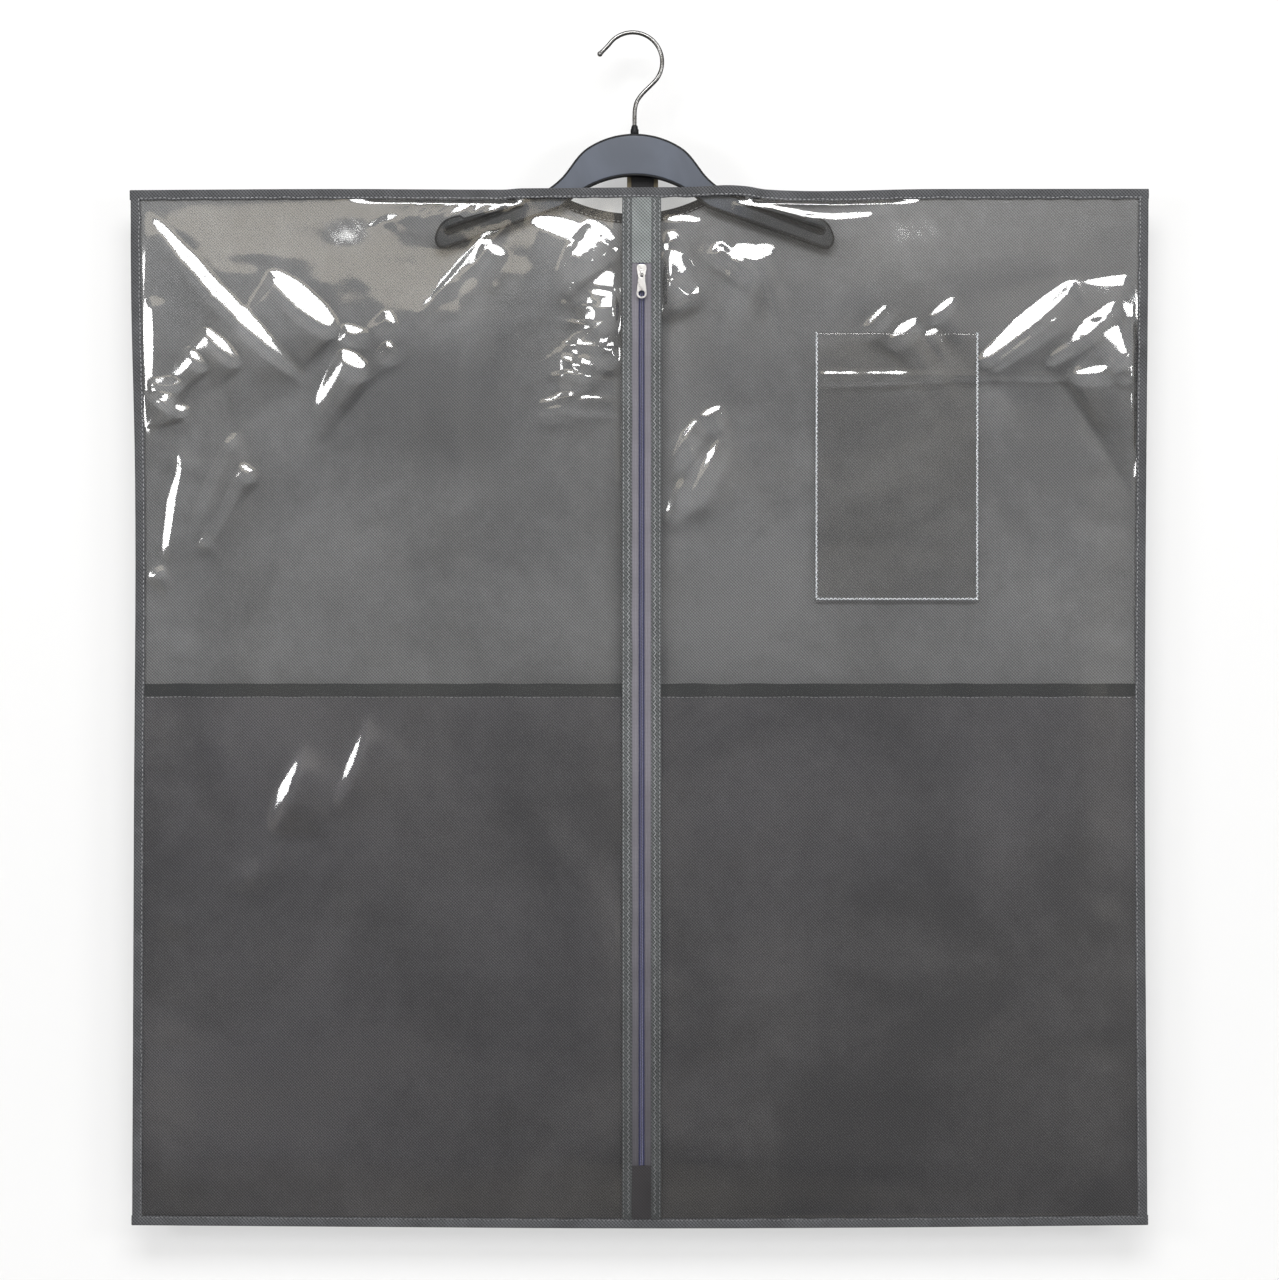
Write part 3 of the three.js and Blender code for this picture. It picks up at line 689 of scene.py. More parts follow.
def cloth(name, colour, mottle=0.16, pitch=0.0022, depth=0.00016, sheen=0.1, patches=6.0, hollow_shade=0.66,
          clouds=(), foot=1.0):
    """Bonded cloth: a fine diagonal emboss, fibres, and soft patches of lighter and darker colour.

    clouds adds patches: x, z, radius in millimetres, and how much lighter (or darker) they are.
    """
    s = Shader(name)
    leaning = s.turned(45)
    emboss = s.maths("ADD", s.maths("MULTIPLY", s.bands(pitch, leaning, "X", 0.4), 0.62),
                     s.maths("MULTIPLY", s.bands(pitch, leaning, "Z", 0.4), 0.38))
    fibres = s.noise(620, 3, s.turned(30, (1, 1, 0.35)), 0.4)
    soft = s.noise(patches, 5, None, 0.7, 0.6)
    small = s.noise(55, 4, None, 0.3, 0.6)
    tone = s.maths("ADD", s.maths("MULTIPLY", soft, 0.66), s.maths("MULTIPLY", small, 0.2))
    tone = s.maths("ADD", tone, s.maths("MULTIPLY", fibres, 0.14))
    flat = s.add("ShaderNodeVectorMath", {0: s.place, 1: (1, 0, 1)}, operation="MULTIPLY").outputs[0]
    for x, z, radius, gain in clouds:
        middle = (x * MM, 0, z * MM)
        away = s.add("ShaderNodeVectorMath", {0: flat, 1: middle}, operation="DISTANCE").outputs[1]
        tone = s.maths("ADD", tone, s.fade(away, radius * MM, gain))
    wide = s.mix(s.fit(tone, 0.4, 0.62), scaled(colour, 1 - mottle), scaled(colour, 1 + mottle))
    # the emboss's sunk lines take the colour scaled down: painted shade in its hollows
    sunk = s.mix(s.fit(tone, 0.4, 0.62), scaled(colour, hollow_shade * (1 - mottle)),
                 scaled(colour, hollow_shade * (1 + mottle)))
    # painted shade: darker towards the bag's lower edge by foot
    final = s.low_shade(s.mix(s.fit(emboss, 0.15, 0.75), sunk, wide), foot)
    height = s.maths("ADD", emboss, s.maths("MULTIPLY", fibres, 0.5))
    return s.surface(
        Base_Color=final, Roughness=s.fit(fibres, 0.2, 0.8, 0.74, 0.92), Sheen_Weight=sheen,
        Specular_IOR_Level=0.3, Normal=s.bump(height, depth),
    )


def webbing(name, colour, pitch=0.0011, depth=0.0002, roughness=0.8, mottle=0.15, foot=1.0):
    """Woven tape: ribs along it and picks across, with the gaps between them painted darker (painted
    shade).
    """
    s = Shader(name)
    # weave also darkens the gaps between ribs and picks below: painted shade
    weave = s.maths("MULTIPLY", s.bands(pitch, None, "X"), s.bands(pitch * 0.8, None, "Z"))
    fibres = s.noise(900, 2)
    wear = s.noise(30, 4)
    tone = s.mix(s.fit(wear, 0.35, 0.65), scaled(colour, 1 - mottle), scaled(colour, 1 + mottle))
    # painted shade: darker towards the bag's lower edge by foot
    final = s.low_shade(s.mix(s.fit(weave, 0, 0.6), scaled(colour, 0.62), tone), foot)
    height = s.maths("ADD", weave, s.maths("MULTIPLY", fibres, 0.3))
    return s.surface(
        Base_Color=final, Roughness=s.fit(fibres, 0.3, 0.7, roughness - 0.1, roughness + 0.08),
        Sheen_Weight=0.15, Specular_IOR_Level=0.3, Normal=s.bump(height, depth),
    )


def metal(name, colour, roughness, streak, metallic=1.0):
    """Drawn or tumbled metal with fine scratches and a few dull spots."""
    s = Shader(name)
    lines = s.noise(500, 3, s.turned(streak, (1, 1, 0.06)))
    spots = s.noise(90, 4, None, 0, 0.6)
    tone = s.mix(s.fit(spots, 0.4, 0.75), colour, scaled(colour, 0.72))
    scratched = s.fit(lines, 0.3, 0.7, -0.06, 0.08)
    rough = s.maths("ADD", scratched, s.fit(spots, 0.4, 0.8, roughness, roughness + 0.2))
    return s.surface(
        Base_Color=tone, Metallic=metallic, Roughness=rough, Normal=s.bump(lines, 0.00003),
    )


def plastic(name, colour, roughness, grain=420, depth=0.00004, specular=0.55, arm_shade=1.0):
    """Moulded plastic with a fine grain and slight rubbing; away from the middle its colour is scaled down,
    painted shade on the hanger's arms.
    """
    s = Shader(name)
    fine = s.noise(grain, 2)
    rub = s.noise(24, 4, s.turned(20, (1, 1, 0.5)), 0.5)
    tone = s.mix(s.fit(rub, 0.4, 0.75), colour, scaled(colour, 1.35))
    along = s.maths("ABSOLUTE", s.add("ShaderNodeSeparateXYZ", {0: s.place}).outputs[0])
    # painted shade: the arms, away from the middle, are darker than the crown
    tone = s.mix(s.fit(along, 0.085, 0.12), tone, scaled(colour, arm_shade))
    return s.surface(
        Base_Color=tone, Roughness=s.fit(rub, 0.3, 0.7, roughness - 0.05, roughness + 0.09),
        Specular_IOR_Level=specular, Normal=s.bump(fine, depth),
    )


def coil_material(name, dark, light):
    """Nylon coil: the outer loops dark with stitching, the meshed middle paler."""
    s = Shader(name)
    across = s.add("ShaderNodeSeparateXYZ", {0: s.place}).outputs[0]
    off = s.maths("ABSOLUTE", s.maths("SUBTRACT", across, ZIP_X * MM))
    fine = s.noise(700, 2)
    tone = s.mix(s.fit(off, 0.0011, 0.0014), light, dark)
    tone = s.mix(s.fit(fine, 0.3, 0.8, 0, 0.3), tone, scaled(dark, 0.7))
    return s.surface(Base_Color=tone, Roughness=0.42, Normal=s.bump(fine, 0.00004))


def thread_material(name, colour):
    """Twisted sewing thread."""
    s = Shader(name)
    twist = s.bands(0.0007, s.turned(35), "X")
    wear = s.noise(260, 3)
    # painted shade: the thread darkens towards the bag's lower edge
    tone = s.low_shade(s.mix(s.fit(wear, 0.35, 0.7), colour, scaled(colour, 0.62)), 0.45)
    return s.surface(
        Base_Color=tone, Roughness=0.62, Sheen_Weight=0.2, Normal=s.bump(twist, 0.0001, 0.8),
    )


def film(name, gloss, veil, tint):
    """Clear film: mostly open, a glossy skin that grows towards grazing, and a thin veil of haze."""
    s = Shader(name)
    haze = s.noise(5, 4, None, 1.2, 0.55)
    scuffs = s.noise(160, 2, s.turned(35, (1, 1, 0.12)))
    ripple = s.noise(60, 1, s.turned(-38, (1, 1, 0.3)), 0.8)
    skin = s.bump(ripple, 0.0004, 0.16)
    fresnel = s.add("ShaderNodeFresnel", {"IOR": 1.5, "Normal": skin}).outputs[0]
    shine = s.maths("MINIMUM", s.maths("ADD", s.maths("MULTIPLY", fresnel, gloss), 0.004), 0.9)
    glossy = s.add("ShaderNodeBsdfGlossy", {
        "Color": (1, 1, 1, 1), "Normal": skin, "Roughness": s.fit(scuffs, 0.3, 0.8, 0.05, 0.12),
    })
    open_part = s.add("ShaderNodeBsdfTransparent", {"Color": tint})
    cloudy = s.add("ShaderNodeBsdfDiffuse", {"Color": shade(212, 208, 200)})
    clear = s.add("ShaderNodeMixShader", {0: shine, 1: open_part.outputs[0], 2: glossy.outputs[0]})
    whole = s.add("ShaderNodeMixShader", {
        0: s.fit(haze, 0.3, 0.72, veil * 0.4, veil * 1.6), 1: clear.outputs[0], 2: cloudy.outputs[0],
    })
    return s.finished(whole)


STEEL = metal("hook_steel", shade(140, 139, 138), 0.2, 0)
NICKEL = metal("nickel", shade(230, 228, 227), 0.28, 30, 0.85)
# a darker copy of the placket cloth for the bottom tab: painted shade, as the placket darkens towards the
# bag's lower edge
FOOT_TAB_CLOTH = cloth("placket_cloth_dark", shade(58, 56, 58), 0.12, patches=24, hollow_shade=0.52)
# the hanger's arms are painted darker than its crown: painted shade
PLASTIC = plastic("hanger_plastic", shade(66, 72, 84), 0.42, arm_shade=0.25)
# a darker copy of the hanger plastic: painted shade on the moulding's rim and sides; the collar takes it
# too
SHADED_PLASTIC = plastic("hanger_plastic_shaded", shade(18, 19, 22), 0.5, specular=0.25)
BACK_CLOUDS = (
    (-165, -440, 150, -0.09), (-90, -330, 110, -0.05), (-330, -560, 150, -0.03), (-420, -620, 110, 0.05),
    (95, -585, 170, 0.2), (60, -470, 100, 0.09), (430, -570, 130, 0.07), (320, -200, 260, -0.1),
    (420, -420, 110, -0.05), (-300, -200, 260, -0.06), (-40, -600, 80, 0.05), (0, -200, 200, -0.04),
)
BACK_CLOTH = cloth("back_cloth", shade(148, 149, 152), 0.17, patches=5.5, hollow_shade=0.48, clouds=BACK_CLOUDS)
POCKET_CLOUDS = (
    (-380, -800, 200, 0.1), (-60, -800, 120, -0.08), (-100, -930, 150, 0.12), (-350, -1050, 220, 0.14),
    (120, -760, 160, 0.07), (430, -980, 200, -0.06), (200, -1090, 240, -0.1), (430, -1120, 140, -0.07),
    (8, -1150, 120, -0.12),
)
POCKET_CLOTH = cloth("pocket_cloth", shade(116, 115, 120), 0.2, patches=5, hollow_shade=0.44, clouds=POCKET_CLOUDS)
# a darker copy of the pocket cloth for the folded hem: painted shade
SHADED_HEM_CLOTH = cloth("pocket_cloth_hem_shaded", shade(75, 77, 79), 0.1, patches=8, hollow_shade=0.75)
BINDING_CLOTH = cloth("binding_cloth", shade(92, 93, 96), 0.18, 0.0024, patches=26, hollow_shade=0.28)
# a darker copy of the binding cloth for the back neck binding: painted shade
SHADED_NECK_CLOTH = cloth("binding_cloth_shaded", shade(24, 25, 30), 0.14, patches=26, hollow_shade=0.6)
# foot paints the placket strips darker towards the bag's lower edge: painted shade
PLACKET_CLOTH = cloth("placket_cloth", shade(101, 104, 105), 0.16, 0.0024, patches=24, hollow_shade=0.28, foot=0.6)
TAB_CLOTH = cloth("placket_cloth_light", shade(142, 147, 147), 0.12, 0.0024, patches=24, hollow_shade=0.34)
# foot paints the zip tape darker towards the bag's lower edge: painted shade
TAPE = webbing("zip_tape", shade(131, 128, 136), 0.0016, 0.00014, foot=0.36)
COIL = coil_material("zip_coil", shade(52, 56, 100), shade(150, 150, 178))
THREAD = thread_material("thread", shade(186, 187, 190))
BRIGHT_THREAD = thread_material("thread_white", shade(232, 236, 242))
# near-black webbing for the neck tab; its black also stands for the deep shade under the hanger's arch:
# partly painted shade
BLACK_WEBBING = webbing("black_webbing", shade(32, 32, 34), 0.0016)
TAUPE_WEBBING = webbing("taupe_webbing", shade(112, 103, 84), 0.0016)
FILM = film("clear_film", 1.4, 0.012, (0.99, 0.99, 0.985, 1))
POCKET_FILM = film("pocket_film", 0.9, 0.02, (0.97, 0.97, 0.97, 1))


# ------------------------------------------------------------------ hook
WIRE_RADIUS = 2.1
BALL_RADIUS = 2.7
HOOK_RADIUS = 29.5  # of the bend, at the middle of the wire
STEM_RADIUS = 2.15  # inside the parts that the stem passes through


def add_hook():
    tip, neck = (-34.6, -19.4), (-30.6, -15.3)
    bend = arc(-1.9, -HOOK_RADIUS + WIRE_RADIUS, HOOK_RADIUS, 146, -50, 15)
    stem = [(8.2, -58.8), (2.6, -66.5), (0.5, -74), (0, -82), (0, -100), (0, -126)]
    line = through([(x, 0, z) for x, z in (tip, neck, *bend, *stem)], 5)
    add_mesh("hook_wire_bent", *tube(line, WIRE_RADIUS, 20), STEEL, "hook", ["hook_wire"], "hook_steel", 60)
    # the turned end: a short neck and a ball, as places along the wire and the radius there
    tip, neck = np.array([tip[0], 0, tip[1]]), np.array([neck[0], 0, neck[1]])
    way = unit(tip - neck)
    profile = [(-3.2, 2.14), (-2.8, 2.3), (-2.4, 2.3), (-2.1, 2.1)]
    profile += [
        (BALL_RADIUS * math.sin(a), BALL_RADIUS * math.cos(a)) for a in np.radians(np.arange(-40, 86, 9))
    ]
    profile = sorted(profile)
    line = [tip + way * t for t, _ in profile]
    add_mesh("hook_ball_tip", *tube(line, [r for _, r in profile], 24), STEEL, "hook",
             ["hook_tip_cap"], "hook_steel", 50)
    ring = [(STEM_RADIUS, -125.5), (3.2, -125.5), (3.6, -125.1), (3.6, -123.2), (3.1, -122.6),
            (STEM_RADIUS, -122.5)]
    add_mesh("hook_retainer_ring", *lathe(ring), STEEL, "hook", ["hook_stem_retainer"], "hook_steel", 30)


# ------------------------------------------------------------------ hanger
CROWN_TOP = -99.7
CROWN_RADIUS = 86
CROWN_HALF = 46
ARCH_RADIUS = 98
ARCH_HALF = 62
ARCH_TOP = -141.8
FACE_DEPTH = 4.4  # the raised face stands out from here to FACE_TOP
FACE_INSET = 2.1
FACE_TOP = 5


def curved(start, pull, push, end, count=8):
    """Points on a cubic curve, without its first."""
    t = np.linspace(0, 1, count + 1)[1:, None]
    start, pull, push, end = map(np.array, (start, pull, push, end))
    points = (1 - t) ** 3 * start + 3 * t * (1 - t) ** 2 * pull + 3 * t * t * (1 - t) * push + t ** 3 * end
    return [tuple(p) for p in points]


def hanger_outline():
    """Half the outline, from the top of the crown to the middle of the arch; the other half mirrors it."""
    turn = math.degrees(math.asin(CROWN_HALF / CROWN_RADIUS))
    half = arc(0, CROWN_TOP - CROWN_RADIUS, CROWN_RADIUS, 90, 90 - turn, 16)
    half += curved(half[-1], (58, -120.6), (64, -134), (72, -142.6), 9)
    half += curved(half[-1], (80, -151.2), (93, -160), (106, -164.5), 9)
    half += [(107.2, -165.3), (108, -166.4), (170, -183.4), (171.2, -182.9)]
    half += bent((171.2, -182.9), (172.5, -181.6), (174.5, -181), 3)
    half += bent((174.5, -181), (196, -183), (199.8, -204), 9)
    half += bent((199.8, -204), (199, -216.5), (188, -213.8), 7)
    half += [(150, -200.4), (110, -186.2), (74, -173.4)]
    turn = math.degrees(math.asin(ARCH_HALF / ARCH_RADIUS))
    foot = arc(0, ARCH_TOP - ARCH_RADIUS, ARCH_RADIUS, 90 - turn, 90, 18)
    half += bent((74, -173.4), (71, -171.4), foot[0], 5)
    return half + foot[1:]


def arm_slot():
    """The long slot in the right arm."""
    a, b = np.array([114, -171.2]), np.array([186, -196.9])
    turn = math.degrees(math.atan2(b[1] - a[1], b[0] - a[0]))
    return arc(*a, 1.1, turn + 90, turn + 270, 8) + arc(*b, 2.6, turn - 90, turn + 90, 10)


def mirrored(points):
    return [(-x, z) for x, z in reversed(points)]


def add_hanger():
    half = hanger_outline()
    outline = half + mirrored(half[1:-1])
    loops = [outline, arm_slot(), mirrored(arm_slot())]
    parts = [
        cut_plate(loops, -FACE_DEPTH, FACE_DEPTH, 0.9, 3),
        cut_plate(loops, -FACE_TOP, FACE_TOP, 0.5, 2, FACE_INSET),
    ]
    made = add_mesh("hanger_moulded", *together(*parts), PLASTIC, "hanger", ["hanger_body"],
                    "hanger_plastic", 38, weld=0.02)
    # the plate's rim and sides take the darker copy: painted shade on the bevels
    made.data.materials.append(SHADED_PLASTIC)
    for face in made.data.polygons:
        if abs(face.center.y) < (FACE_DEPTH + 0.1) * MM:
            face.material_index = 1
    made.modifiers.new("even shading", "WEIGHTED_NORMAL").keep_sharp = True
    collar = [(STEM_RADIUS, -99.6), (3.9, -99.6), (4.1, -99.1), (4.1, -95.4), (3.9, -94.9), (3.6, -94.7),
              (3.1, -92.0), (2.8, -91.2), (2.5, -91.0), (STEM_RADIUS, -91.0)]
    # the collar takes the darker copy of the plastic too
    add_mesh("hanger_swivel_collar", *lathe(collar), SHADED_PLASTIC, "hanger", ["hanger_collar"],
             "hanger_plastic", 30)


# ------------------------------------------------------------------ shell of the bag
FILM_COLUMNS = 188
SEAM_LEFT, SEAM_RIGHT = constant(-7.7), constant(21.7)  # the panels' edges under the placket
TUCKED_LEFT, TUCKED_RIGHT = (lambda z: left_edge(z) + TUCK), (lambda z: right_edge(z) - TUCK)
# The front panels: side, their two edges, and the cut width
FRONT_PANELS = (("left", TUCKED_LEFT, SEAM_LEFT, 491), ("right", SEAM_RIGHT, TUCKED_RIGHT, 484))


def tucked_low(x):
    return bottom_edge(x) + TUCK


def tucked_top(x):
    return top_edge(x) - TUCK


def add_film(side, left, right, flat_width):
    rows = np.concatenate([
        np.arange(-1189, -660, 9.0), np.arange(-660, -400, 4.0), np.arange(-400, -159.5, 2.3), [-159.4],
    ])
    share = (rows - rows[0]) / (rows[-1] - rows[0])
    x, z = grid(left, right, tucked_low, tucked_top, np.linspace(0, 1, FILM_COLUMNS), share)
    made = add_mesh(f"front_film_{side}_creased", *panel(x, z, film_front, FILM_THICK), FILM, "bag",
                    [f"front_film_{side}"], "clear_film")


HEM = 13  # depth of the inner panels' top hem
HEM_STITCH = -662.5
HEM_LOW = POCKET_TOP - HEM
HEM_STEP = 1.2  # height over which the cloth grows to the hem's thickness


def lining_front(x, z):
    """The inner panel's front: it sags back a little between its edges, and its folded hem stands proud."""
    hem = step((z - HEM_LOW) / HEM_STEP)
    sag = 0.8 * waves(x, z, 210, 21) * spread(x, z) * step((HEM_LOW - z) / 60)
    return lining_level(x, z) + sag - 0.25 * hem


def add_lining(side, left, right, flat_width):
    rows = np.concatenate([
        np.arange(-1189, -700, 8.0), np.arange(-700, HEM_LOW - 3, 3.0),
        HEM_LOW + np.array([-2.0, -1, -0.4, 0.2, 0.8, 1.4, 3, 6, 9, 11, 12.2, 12.8, 13]),
    ])
    share = (rows - rows[0]) / (rows[-1] - rows[0])
    x, z = grid(left, right, tucked_low, lambda t: POCKET_TOP + 0.5 * wobble(t, 60, 8),
                np.linspace(0, 1, 70), share)
    front = lining_front(x, z)
    thick = CLOTH_THICK + 0.55 * step((z - HEM_LOW) / HEM_STEP)
    points = two_layers(np.stack([x, front, z], -1), np.stack([x, front + thick, z], -1))
    made = add_mesh(f"pocket_panel_{side}_cloth", *points, POCKET_CLOTH, "bag", [f"pocket_panel_{side}"],
                    "pocket_cloth", 50)
    # the hem's faces take the darker copy of the pocket cloth: painted shade
    made.data.materials.append(SHADED_HEM_CLOTH)
    for face in made.data.polygons:
        if face.center.z > HEM_LOW * MM:
            face.material_index = 1


def neckline(x):
    return NECK_DIP * np.maximum(0, 1 - (x / SCOOP_HALF) ** 2)


def back_front(x, z):
    inside = spread(x, z)
    wave = 1.3 * waves(x, z * 0.45, 240, 31) + 0.25 * waves(x, z, 70, 32)
    low = step((z - bottom_edge(x) - BINDING) / 40) * step((top_edge(x) - BINDING - z) / 30)
    return back_level(x, z) + np.maximum(wave, 0) * inside * low


def add_back():
    share = np.linspace(0, 1, 150)
    x, z = grid(TUCKED_LEFT, TUCKED_RIGHT, tucked_low, lambda t: tucked_top(t) - neckline(t), share, share)
    made = add_mesh("back_panel_cloth", *panel(x, z, back_front, CLOTH_THICK), BACK_CLOTH, "bag",
                    ["back_panel"], "back_cloth")


# ------------------------------------------------------------------ stitches and bindings
def sew(name, stitches, material=THREAD, nodes=()):
    """Stitches as one piece on the bag."""
    add_mesh(name, *stitches, material, "bag", nodes, "thread")


# The folded tape across its width: distance in from the fold, and share of the half thickness.
FOLD = ((10, 0.84), (9.2, 0.86), (8.5, 0.72), (7.7, 0.92), (5, 1.0), (2.4, 0.97), (1.0, 0.8), (0.3, 0.46))
STITCH_IN = 8.5
STITCH_SHARE = 0.76  # how far out the stitches lie, as a share of the half thickness
STITCH_PITCH = 4.6
STITCH_LENGTH = 2.6


def bound_edge(name, start, end, place, centre, half, node, seed, material=BINDING_CLOTH):
    """A tape folded over an edge. place(s, depth) gives x and z, centre(s) the middle's y."""
    steps = max(8, int(abs(end - start) / 3.2))
    s = np.linspace(start, end, steps)
    folded = [*FOLD, (0, 0), *[(d, -f) for d, f in FOLD[::-1]]]
    depth, share = np.array(folded, float).T

    def surface(s, depth, share, skin=0.0):
        s, depth, share = np.broadcast_arrays(s, depth, share)
        pucker = 1 + 0.09 * wobble(s, 9, seed) + 0.06 * wobble(s, 31, seed + 1)
        inner = 0.35 * wobble(s, 26, seed + 2) * (depth / BINDING)
        x, z = place(s, depth + inner + skin * (1 - depth / BINDING))
        y = centre(s) + 0.12 * wobble(s, 47, seed + 3) + np.sign(share) * np.maximum(
            np.abs(share) * half * pucker - skin, 0.04 * np.abs(np.sign(share)))
        return np.stack([x, y, z], -1)

    outer = surface(s[:, None], depth[None], share[None])
    inner = surface(s[:, None], depth[None], share[None], 0.5)
    made = add_mesh(name, *two_layers(outer, inner), material, "bag", [node], "binding_cloth", 70)
    for label, side in (("front", -1), ("back", 1)):
        at = np.arange(min(start, end) + 6, max(start, end) - 6, STITCH_PITCH)
        shift = 0.25 * wobble(at, 40, seed + 5)
        depth_at = STITCH_IN + shift
        first = surface(at, depth_at, side * STITCH_SHARE)
        last = surface(at + STITCH_LENGTH, depth_at, side * STITCH_SHARE)
        sew(f"{name}_stitches_{label}", threads(first, last, 0.32, (0, side * 0.2, 0)))


def add_bindings():
    bound_edge("top_binding_folded", -504.6, 514, lambda s, d: (s, top_edge(s) - d),
               lambda s: -8.5 * open_neck(s), 2.05, "top_binding", 101)
    bound_edge("bottom_binding_folded", -502.8, 513.2, lambda s, d: (s, bottom_edge(s) + d),
               constant(0), 2.05, "bottom_binding", 111)
    bound_edge("left_binding_folded", -1189, -157, lambda s, d: (left_edge(s) + d, s),
               constant(0), 1.95, "left_binding", 121)
    bound_edge("right_binding_folded", -1189, -157, lambda s, d: (right_edge(s) - d, s),
               constant(0), 1.95, "right_binding", 131)
    # the back neck binding takes the darker copy of the binding cloth: painted shade
    bound_edge("back_neck_binding_folded", -111, 111, lambda s, d: (s, top_edge(s) - neckline(s) - d),
               constant(7.9), 1.4, "back_neck_binding", 141, SHADED_NECK_CLOTH)


# ------------------------------------------------------------------ placket and zip
STRIP_STAND = 2.0  # how far the strips' front stands out from the film
ZIGZAG_HALF = 1.2
ZIGZAG_PITCH = 3.0
TAPE_GAP = 0.5  # from the zip's middle to a tape
TAPE_TOP, TAPE_BOTTOM = -217.4, -1141.4
COIL_PITCH = 1.45
COIL_STEPS = 7  # points in a turn


def placket_level(z):
    return film_level(0 * z + ZIP_X, z)


def ribbon(name, x0, x1, z0, z1, stand, thick, material, slot, node, seed, crown=0.25):
    """A flat tape down the front, stand in front of the film, with softened edges."""
    rows = np.linspace(0, 1, max(8, int((z1 - z0) / 3.4)))
    u, v = np.meshgrid(np.linspace(0, 1, 9), rows)
    z = z0 + (z1 - z0) * v
    sway = 0.3 * wobble(z, 90, seed)
    x = x0 + (x1 - x0) * u + sway * (0.4 + 0.6 * u)
    edge = np.abs(2 * u - 1) ** 5
    y = placket_level(z) - stand + crown * edge + 0.1 * wobble(z, 38, seed + 1) * (1 - edge)
    points = two_layers(np.stack([x, y, z], -1), np.stack([x, y + thick - crown * edge * 0.7, z], -1))
    made = add_mesh(name, *points, material, "bag", [node], slot, 60)


def zigzag(x, low, high, seed):
    """A zigzag seam down the placket at x."""
    at = np.arange(high, low, -ZIGZAG_PITCH)
    side = np.where(np.arange(len(at)) % 2, 1, -1)
    px = x + side * ZIGZAG_HALF + 0.15 * wobble(at, 21, seed)
    points = np.stack([px, placket_level(at) - STRIP_STAND - 0.1, at], -1)
    return threads(points[:-1], points[1:], 0.27, (0, -0.12, 0))


def stitch_row(x, low, high):
    """A straight row of stitches down the placket at x."""
    at = np.arange(low, high - 3, STITCH_PITCH)
    front = -STRIP_STAND - 0.08
    first, last = (np.stack([0 * z + x, placket_level(z) + front, z], -1) for z in (at, at + STITCH_LENGTH))
    return threads(first, last, 0.28, (0, -0.12, 0))


def add_placket():
    left, right = ZIP_X - TAB_HALF, ZIP_X + TAB_HALF
    for side, start, seed in (("left", left - STRIP_WIDTH, 201), ("right", right, 211)):
        ribbon(f"placket_strip_{side}_cloth", start, start + STRIP_WIDTH, PLACKET_BOTTOM, PLACKET_TOP,
               STRIP_STAND, 0.8, PLACKET_CLOTH, "placket_cloth", f"placket_strip_{side}",
               seed)
    for end, bottom, top, material, cut, seed in (
        ("top", ZIP_TOP, PLACKET_TOP, TAB_CLOTH, 0.067, 221),
        # the bottom tab takes the darker copy of the placket cloth: painted shade
        ("bottom", PLACKET_BOTTOM, ZIP_BOTTOM, FOOT_TAB_CLOTH, 0.055, 231),
    ):
        ribbon(f"placket_{end}_tab_cloth", left, right, bottom, top, 1.9, 0.7, material, "placket_cloth",
               f"placket_{end}_tab", seed)
    low, high = PLACKET_BOTTOM + 2, PLACKET_TOP - 2
    seams = zigzag(left - STRIP_WIDTH + 6.3, low, high, 241), zigzag(right + 3.4, low, high, 251)
    sew("placket_zigzag_seams", together(*seams))
    outer = [stitch_row(x, low, high) for x in (left - STRIP_WIDTH + 1.4, right + STRIP_WIDTH - 1.4)]
    sew("placket_edge_stitches", together(*outer))


def add_zip():
    for side, start in (("left", ZIP_X - TAPE_GAP - TAPE_WIDTH), ("right", ZIP_X + TAPE_GAP)):
        ribbon(f"zip_tape_{side}_woven", start, start + TAPE_WIDTH, TAPE_BOTTOM, TAPE_TOP, 0.9, 0.6, TAPE,
               "zip_tape", f"zip_tape_{side}", 261, crown=0.1)
    turns = int((ZIP_TOP - ZIP_BOTTOM - 1) / COIL_PITCH)
    turn = np.arange(turns * COIL_STEPS) / COIL_STEPS
    for label, side, phase in (("left", -1, 0), ("right", 1, math.pi)):
        angle = 2 * math.pi * turn + phase
        z = ZIP_TOP - 0.6 - turn * COIL_PITCH
        x = ZIP_X + side * (1.62 + 1.2 * np.cos(angle))
        y = -9.95 + 0.5 * np.sin(angle)
        add_mesh(f"zip_coil_{label}_wound", *tube(np.stack([x, y, z], -1), 0.32, 5), COIL, "bag",
                 [f"zip_coil_{label}"], "zip_coil")


# ------------------------------------------------------------------ slider and pull
SLIDER_HALF = 4.9
SLIDER_LOW = SLIDER_TOP - 11.4
BAIL_RISE = 2.1  # from the bail's middle to each of its feet


def slider_outline():
    right = [(ZIP_X, SLIDER_TOP)]
    right += bent((ZIP_X + 1.2, SLIDER_TOP), (ZIP_X + SLIDER_HALF - 0.3, SLIDER_TOP),
                  (ZIP_X + SLIDER_HALF, SLIDER_TOP - 3.6), 8)
    right += [(ZIP_X + SLIDER_HALF - 0.1, SLIDER_TOP - 5), (ZIP_X + SLIDER_HALF - 0.9, SLIDER_LOW + 1.4)]
    right += bent(right[-1], (ZIP_X + SLIDER_HALF - 1, SLIDER_LOW),
                  (ZIP_X + SLIDER_HALF - 2.2, SLIDER_LOW), 5)
    right += [(ZIP_X, SLIDER_LOW)]
    return right + [(2 * ZIP_X - x, z) for x, z in right[-2:0:-1]]


def nickel_piece(name, body, node, verts, faces):
    made = add_mesh(name, verts, faces, NICKEL, body, [node], "nickel", 40, weld=0.01)
    made.modifiers.new("even shading", "WEIGHTED_NORMAL").keep_sharp = True


